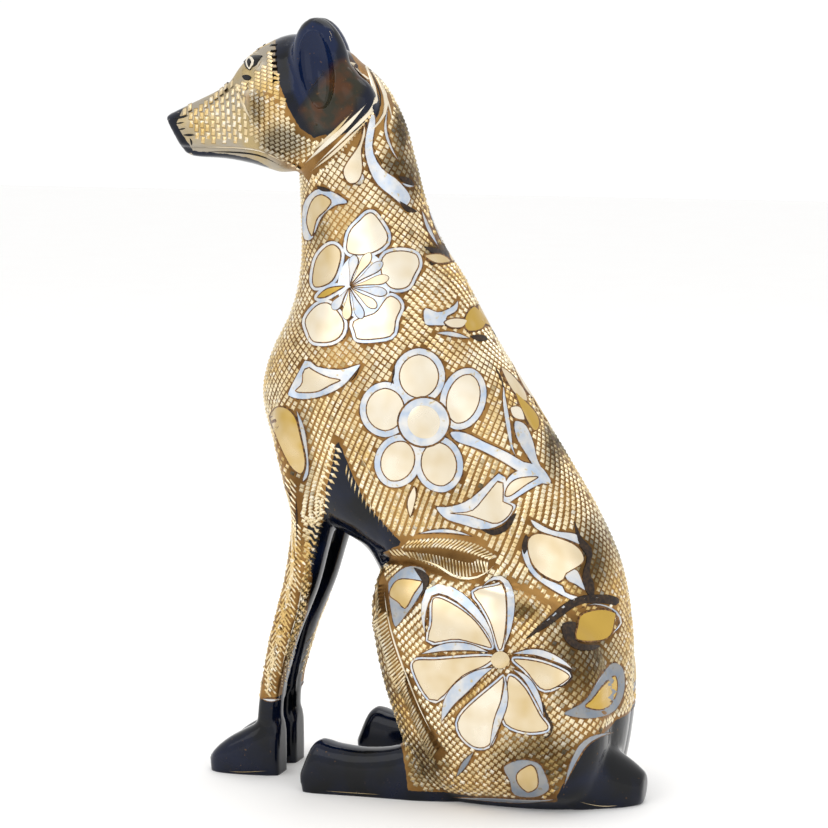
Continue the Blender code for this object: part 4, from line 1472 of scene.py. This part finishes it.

# %% [markdown]
# ### Silver plate of the borders
# A thin silvering over brass, matter than the fills. Its pale steel blue is a painted reflection, and where it is
# rubbed through, in specks of two millimetres, it shows warm brass. Its steel-grey tone is a painted reflection of dark
# surroundings.

# %% Silver plate
silvered = finish_from(
    "silver_plate",
    marks=("tone", "rim"),
    noises={"waves": (6, 2.0), "specks": (2.2, 3.0)},
    numbers={
        "warm": ("waves", 0.35, 0.65),
        "rubbed": ("specks", 0.60, 0.72),
        "edge": ("rim", 0.25, 0.8, 1.0, 0.0),
        "gleam": ("waves", 0.3, 0.7, 0.28, 0.4),
    },
    colours={
        # The pale blue and the steel grey of the tone are painted reflections.
        "silver": ("#BAC8DA", ("warm", "#E2E0DC"), ("rubbed", "#CDBB93"), ("tone", "#4E535A"), ("edge", "#5A4A38")),
    },
    surface={"Base Color": "silver", "Metallic": 1.0, "Roughness": "gleam"},
    relief=("waves", 0.4, 0.3),
)

# %% [markdown]
# ### The cut line and painted shade
# Soot-brown wax is left in the cuts. It is hardly a metal any more, and it gives the thin outlines. The same dark
# finish paints the shade beside the leaves.

# %% Waxed cut line and painted shade
cut_line_and_shade_finish = finish_from(
    "cut_lines_and_painted_shade",
    marks=("tone",),
    noises={"grains": (1.5, 2.0), "smears": (2, 2.0)},
    numbers={"light": ("grains", 0.4, 0.65), "gleam": ("smears", 0.3, 0.7, 0.35, 0.55)},
    colours={"wax": ("#4A2E14", ("light", "#8E6636"), ("tone", "#0B0A0C"))},
    surface={"Base Color": "wax", "Metallic": 0.4, "Roughness": "gleam"},
)

# %% [markdown]
# ### Studs and strokes
# What the chisel leaves standing is rubbed bright on top and stays brown at its foot.
# The tone wanders over a few centimetres, from silvery to deep gold, as the buffing wheel reached it.

# %% Chased brass
chased = finish_from(
    "chased_brass",
    marks=("dark", "lift"),
    noises={"drift": (26, 2.0), "spots": (2.6, 2.0)},
    numbers={
        "deep": ("drift", 0.35, 0.65),
        "bright": ("spots", 0.54, 0.66),
        "upper": ("lift", 0.0, 0.3),
        "gleam": ("spots", 0.35, 0.65, 0.28, 0.42),
    },
    colours={
        # dark paints shade from the patches on crests and feet, along with random spots and each stroke's own darkness.
        "crest": ("#F6E9C8", ("deep", "#DCBB7A"), ("bright", "#FAF1DC"), ("dark", "#16100A")),
        "foot": ("#7A5E34", ("dark", "#120D08")),
        "brass": ("foot", ("upper", "crest")),
    },
    surface={"Base Color": "brass", "Metallic": 1.0, "Roughness": "gleam"},
)

# %% [markdown]
# ### The skin: darkened ground and black lacquer
# Between the studs the brass is bronze brown. The lacquer starts where its distance, kept on each point, passes zero.
# Specks of brass show through it, most of them close to its edge. The enamel has a wet gloss with a faint orange peel.

# %% Ground and lacquer
ground = finish_from(
    "chased_ground_and_lacquer",
    marks=("lacquer", "dark", "pale", "cup_reflection", "root_reflection"),
    noises={
        "brush": (2.5, 2.0), "grains": (1.6, 3.0), "drift": (18, 3.0), "reflection_mottle": (8, 2.0),
        "grit": (0.9, 2.0), "peel": (3, 1.0),
    },
    numbers={
        "ragged": ("ADD", "lacquer", "brush"),
        "covered": ("ragged", 0.4, 0.6),
        "specks": ("grains", 0.70, 0.74),
        "near_edge": ("lacquer", 0.0, 3.0, 1.0, 0.35),
        "rubbed": ("MULTIPLY", "specks", "near_edge"),
        "kept": ("SUBTRACT", 1.0, "rubbed"),
        "painted": ("MULTIPLY", "covered", "kept"),
        "light": ("drift", 0.35, 0.65),
        "grey": ("drift", 0.42, 0.58),
        "blue": ("drift", 0.4, 0.7),
        "brown_in_reflection": ("reflection_mottle", 0.42, 0.6),
        "metal": ("painted", 0.0, 1.0, 1.0, 0.0),
        "gleam": ("painted", 0.0, 1.0, 0.42, 0.12),
        "smoother": ("SUBTRACT", "peel", "grit"),
        "height": ("MULTIPLY_ADD", "painted", "smoother", "grit"),
    },
    colours={
        "straw": ("#B39F74", ("grey", "#A9A090")),
        # dark paints shade on the ground between the studs.
        "brass": ("#74522C", ("light", "#A67F4A"), ("dark", "#23180C"), ("pale", "straw")),
        # The olive-brown colour here is a painted reflection at the ear's root, and the navy below is a painted
        # reflection in its cup.
        "root_reflection_colour": ("#2A281C", ("brown_in_reflection", "#4A2C14")),
        "enamel": ("#04060A", ("blue", "#08122A"), ("cup_reflection", "#0B1A3A"), ("root_reflection", "root_reflection_colour")),
        "colour": ("brass", ("painted", "enamel")),
    },
    surface={"Base Color": "colour", "Metallic": "metal", "Roughness": "gleam", "Specular IOR Level": 0.28},
    relief=("height", 0.12, 0.5),
)

# %% [markdown]
# ### Each piece gets its finish
# The skin carries its patches as numbers on its points. The plates are shaded smooth, but keep their bevels crisp.

# %% Give each piece its finish
PALE_EDGE, CUP_REFLECTION_EDGE, ROOT_REFLECTION_EDGE = 4.0, 1.2, 3.0
CRISP_ANGLE = math.radians(32)
skin_values = {
    "lacquer": lacquered(skin_points),
    # The painted shade patches, kept on the skin's points.
    "dark": painted_shade_at(skin_points),
    "pale": within(PALE_SHAPES, skin_points, PALE_EDGE),
    "cup_reflection": within((EAR_CUP_REFLECTION,), skin_points, CUP_REFLECTION_EDGE),
    "root_reflection": within((EAR_ROOT_REFLECTION,), skin_points, ROOT_REFLECTION_EDGE),
}
for label, values in skin_values.items():
    layer = skin_mesh.attributes.new(label, "FLOAT", "POINT")
    layer.data.foreach_set("value", values.astype(np.float32))
plate_finishes = ((gold_plates, polished), (silver_plates, silvered), (dark_plates, cut_line_and_shade_finish))
for piece, finish in (*plate_finishes, (studs, chased), (fur, chased), (skin, ground)):
    piece.data.materials.clear()
    piece.data.materials.append(finish)
for piece, finish in plate_finishes:
    piece.data.shade_smooth()
    piece.data.set_sharp_from_angle(angle=CRISP_ANGLE)
skin_mesh.shade_smooth()
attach(skin, "root")
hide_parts("brass_dog")

# %% [markdown]
# ## Floor and light
# A plain pale floor and large soft lights, as in a product picture. Metal shows what it mirrors,
# so the room is kept bright all round, and wide lights near the camera make the polished fills pale.


# %% Floor and lights
FLOOR_REACH = 4  # metres
LIT_POINT = Vector((0, 0, 0.16))
matt = finish_from(
    "pale_matt_floor",
    marks=(),
    noises={"clouds": (60, 2.0)},
    numbers={},
    colours={"paper": ("#F9F8F7", ("clouds", "#FBFBFA"))},
    surface={"Base Color": "paper", "Roughness": 0.7},
)

floor = bpy.data.objects.new("floor", bpy.data.meshes.new("floor"))
corners = [(x * FLOOR_REACH, y * FLOOR_REACH, 0) for x, y in ((-1, -1), (1, -1), (1, 1), (-1, 1))]
floor.data.from_pydata(corners, [], [(0, 1, 2, 3)])
bpy.context.scene.collection.objects.link(floor)
floor.data.materials.append(matt)
floor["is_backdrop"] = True

world = bpy.data.worlds.new("studio")
bpy.context.scene.world = world
world.use_nodes = True
bright_room = world.node_tree.nodes["Background"].inputs
bright_room["Color"].default_value = linear("#FFFFFF")
bright_room["Strength"].default_value = 1.03
bpy.context.scene.view_settings.view_transform = "Standard"


def soft_light(name, place, size, power):
    """A white panel of some metres by some, in watts, turned to the middle of the dog."""
    lamp = bpy.data.lights.new(name, "AREA")
    lamp.shape = "RECTANGLE"
    lamp.size, lamp.size_y = size
    lamp.energy = power
    made = bpy.data.objects.new(name, lamp)
    made.location = place
    made.rotation_euler = (LIT_POINT - Vector(place)).to_track_quat("-Z", "Y").to_euler()
    bpy.context.scene.collection.objects.link(made)


soft_light("key", (-0.5, -1.1, 0.9), (1.2, 1.0), 3.8)
soft_light("fill", (1.0, -0.9, 0.4), (0.8, 0.8), 1.0)
soft_light("top", (0.1, 0.3, 1.2), (1.0, 0.8), 4.0)
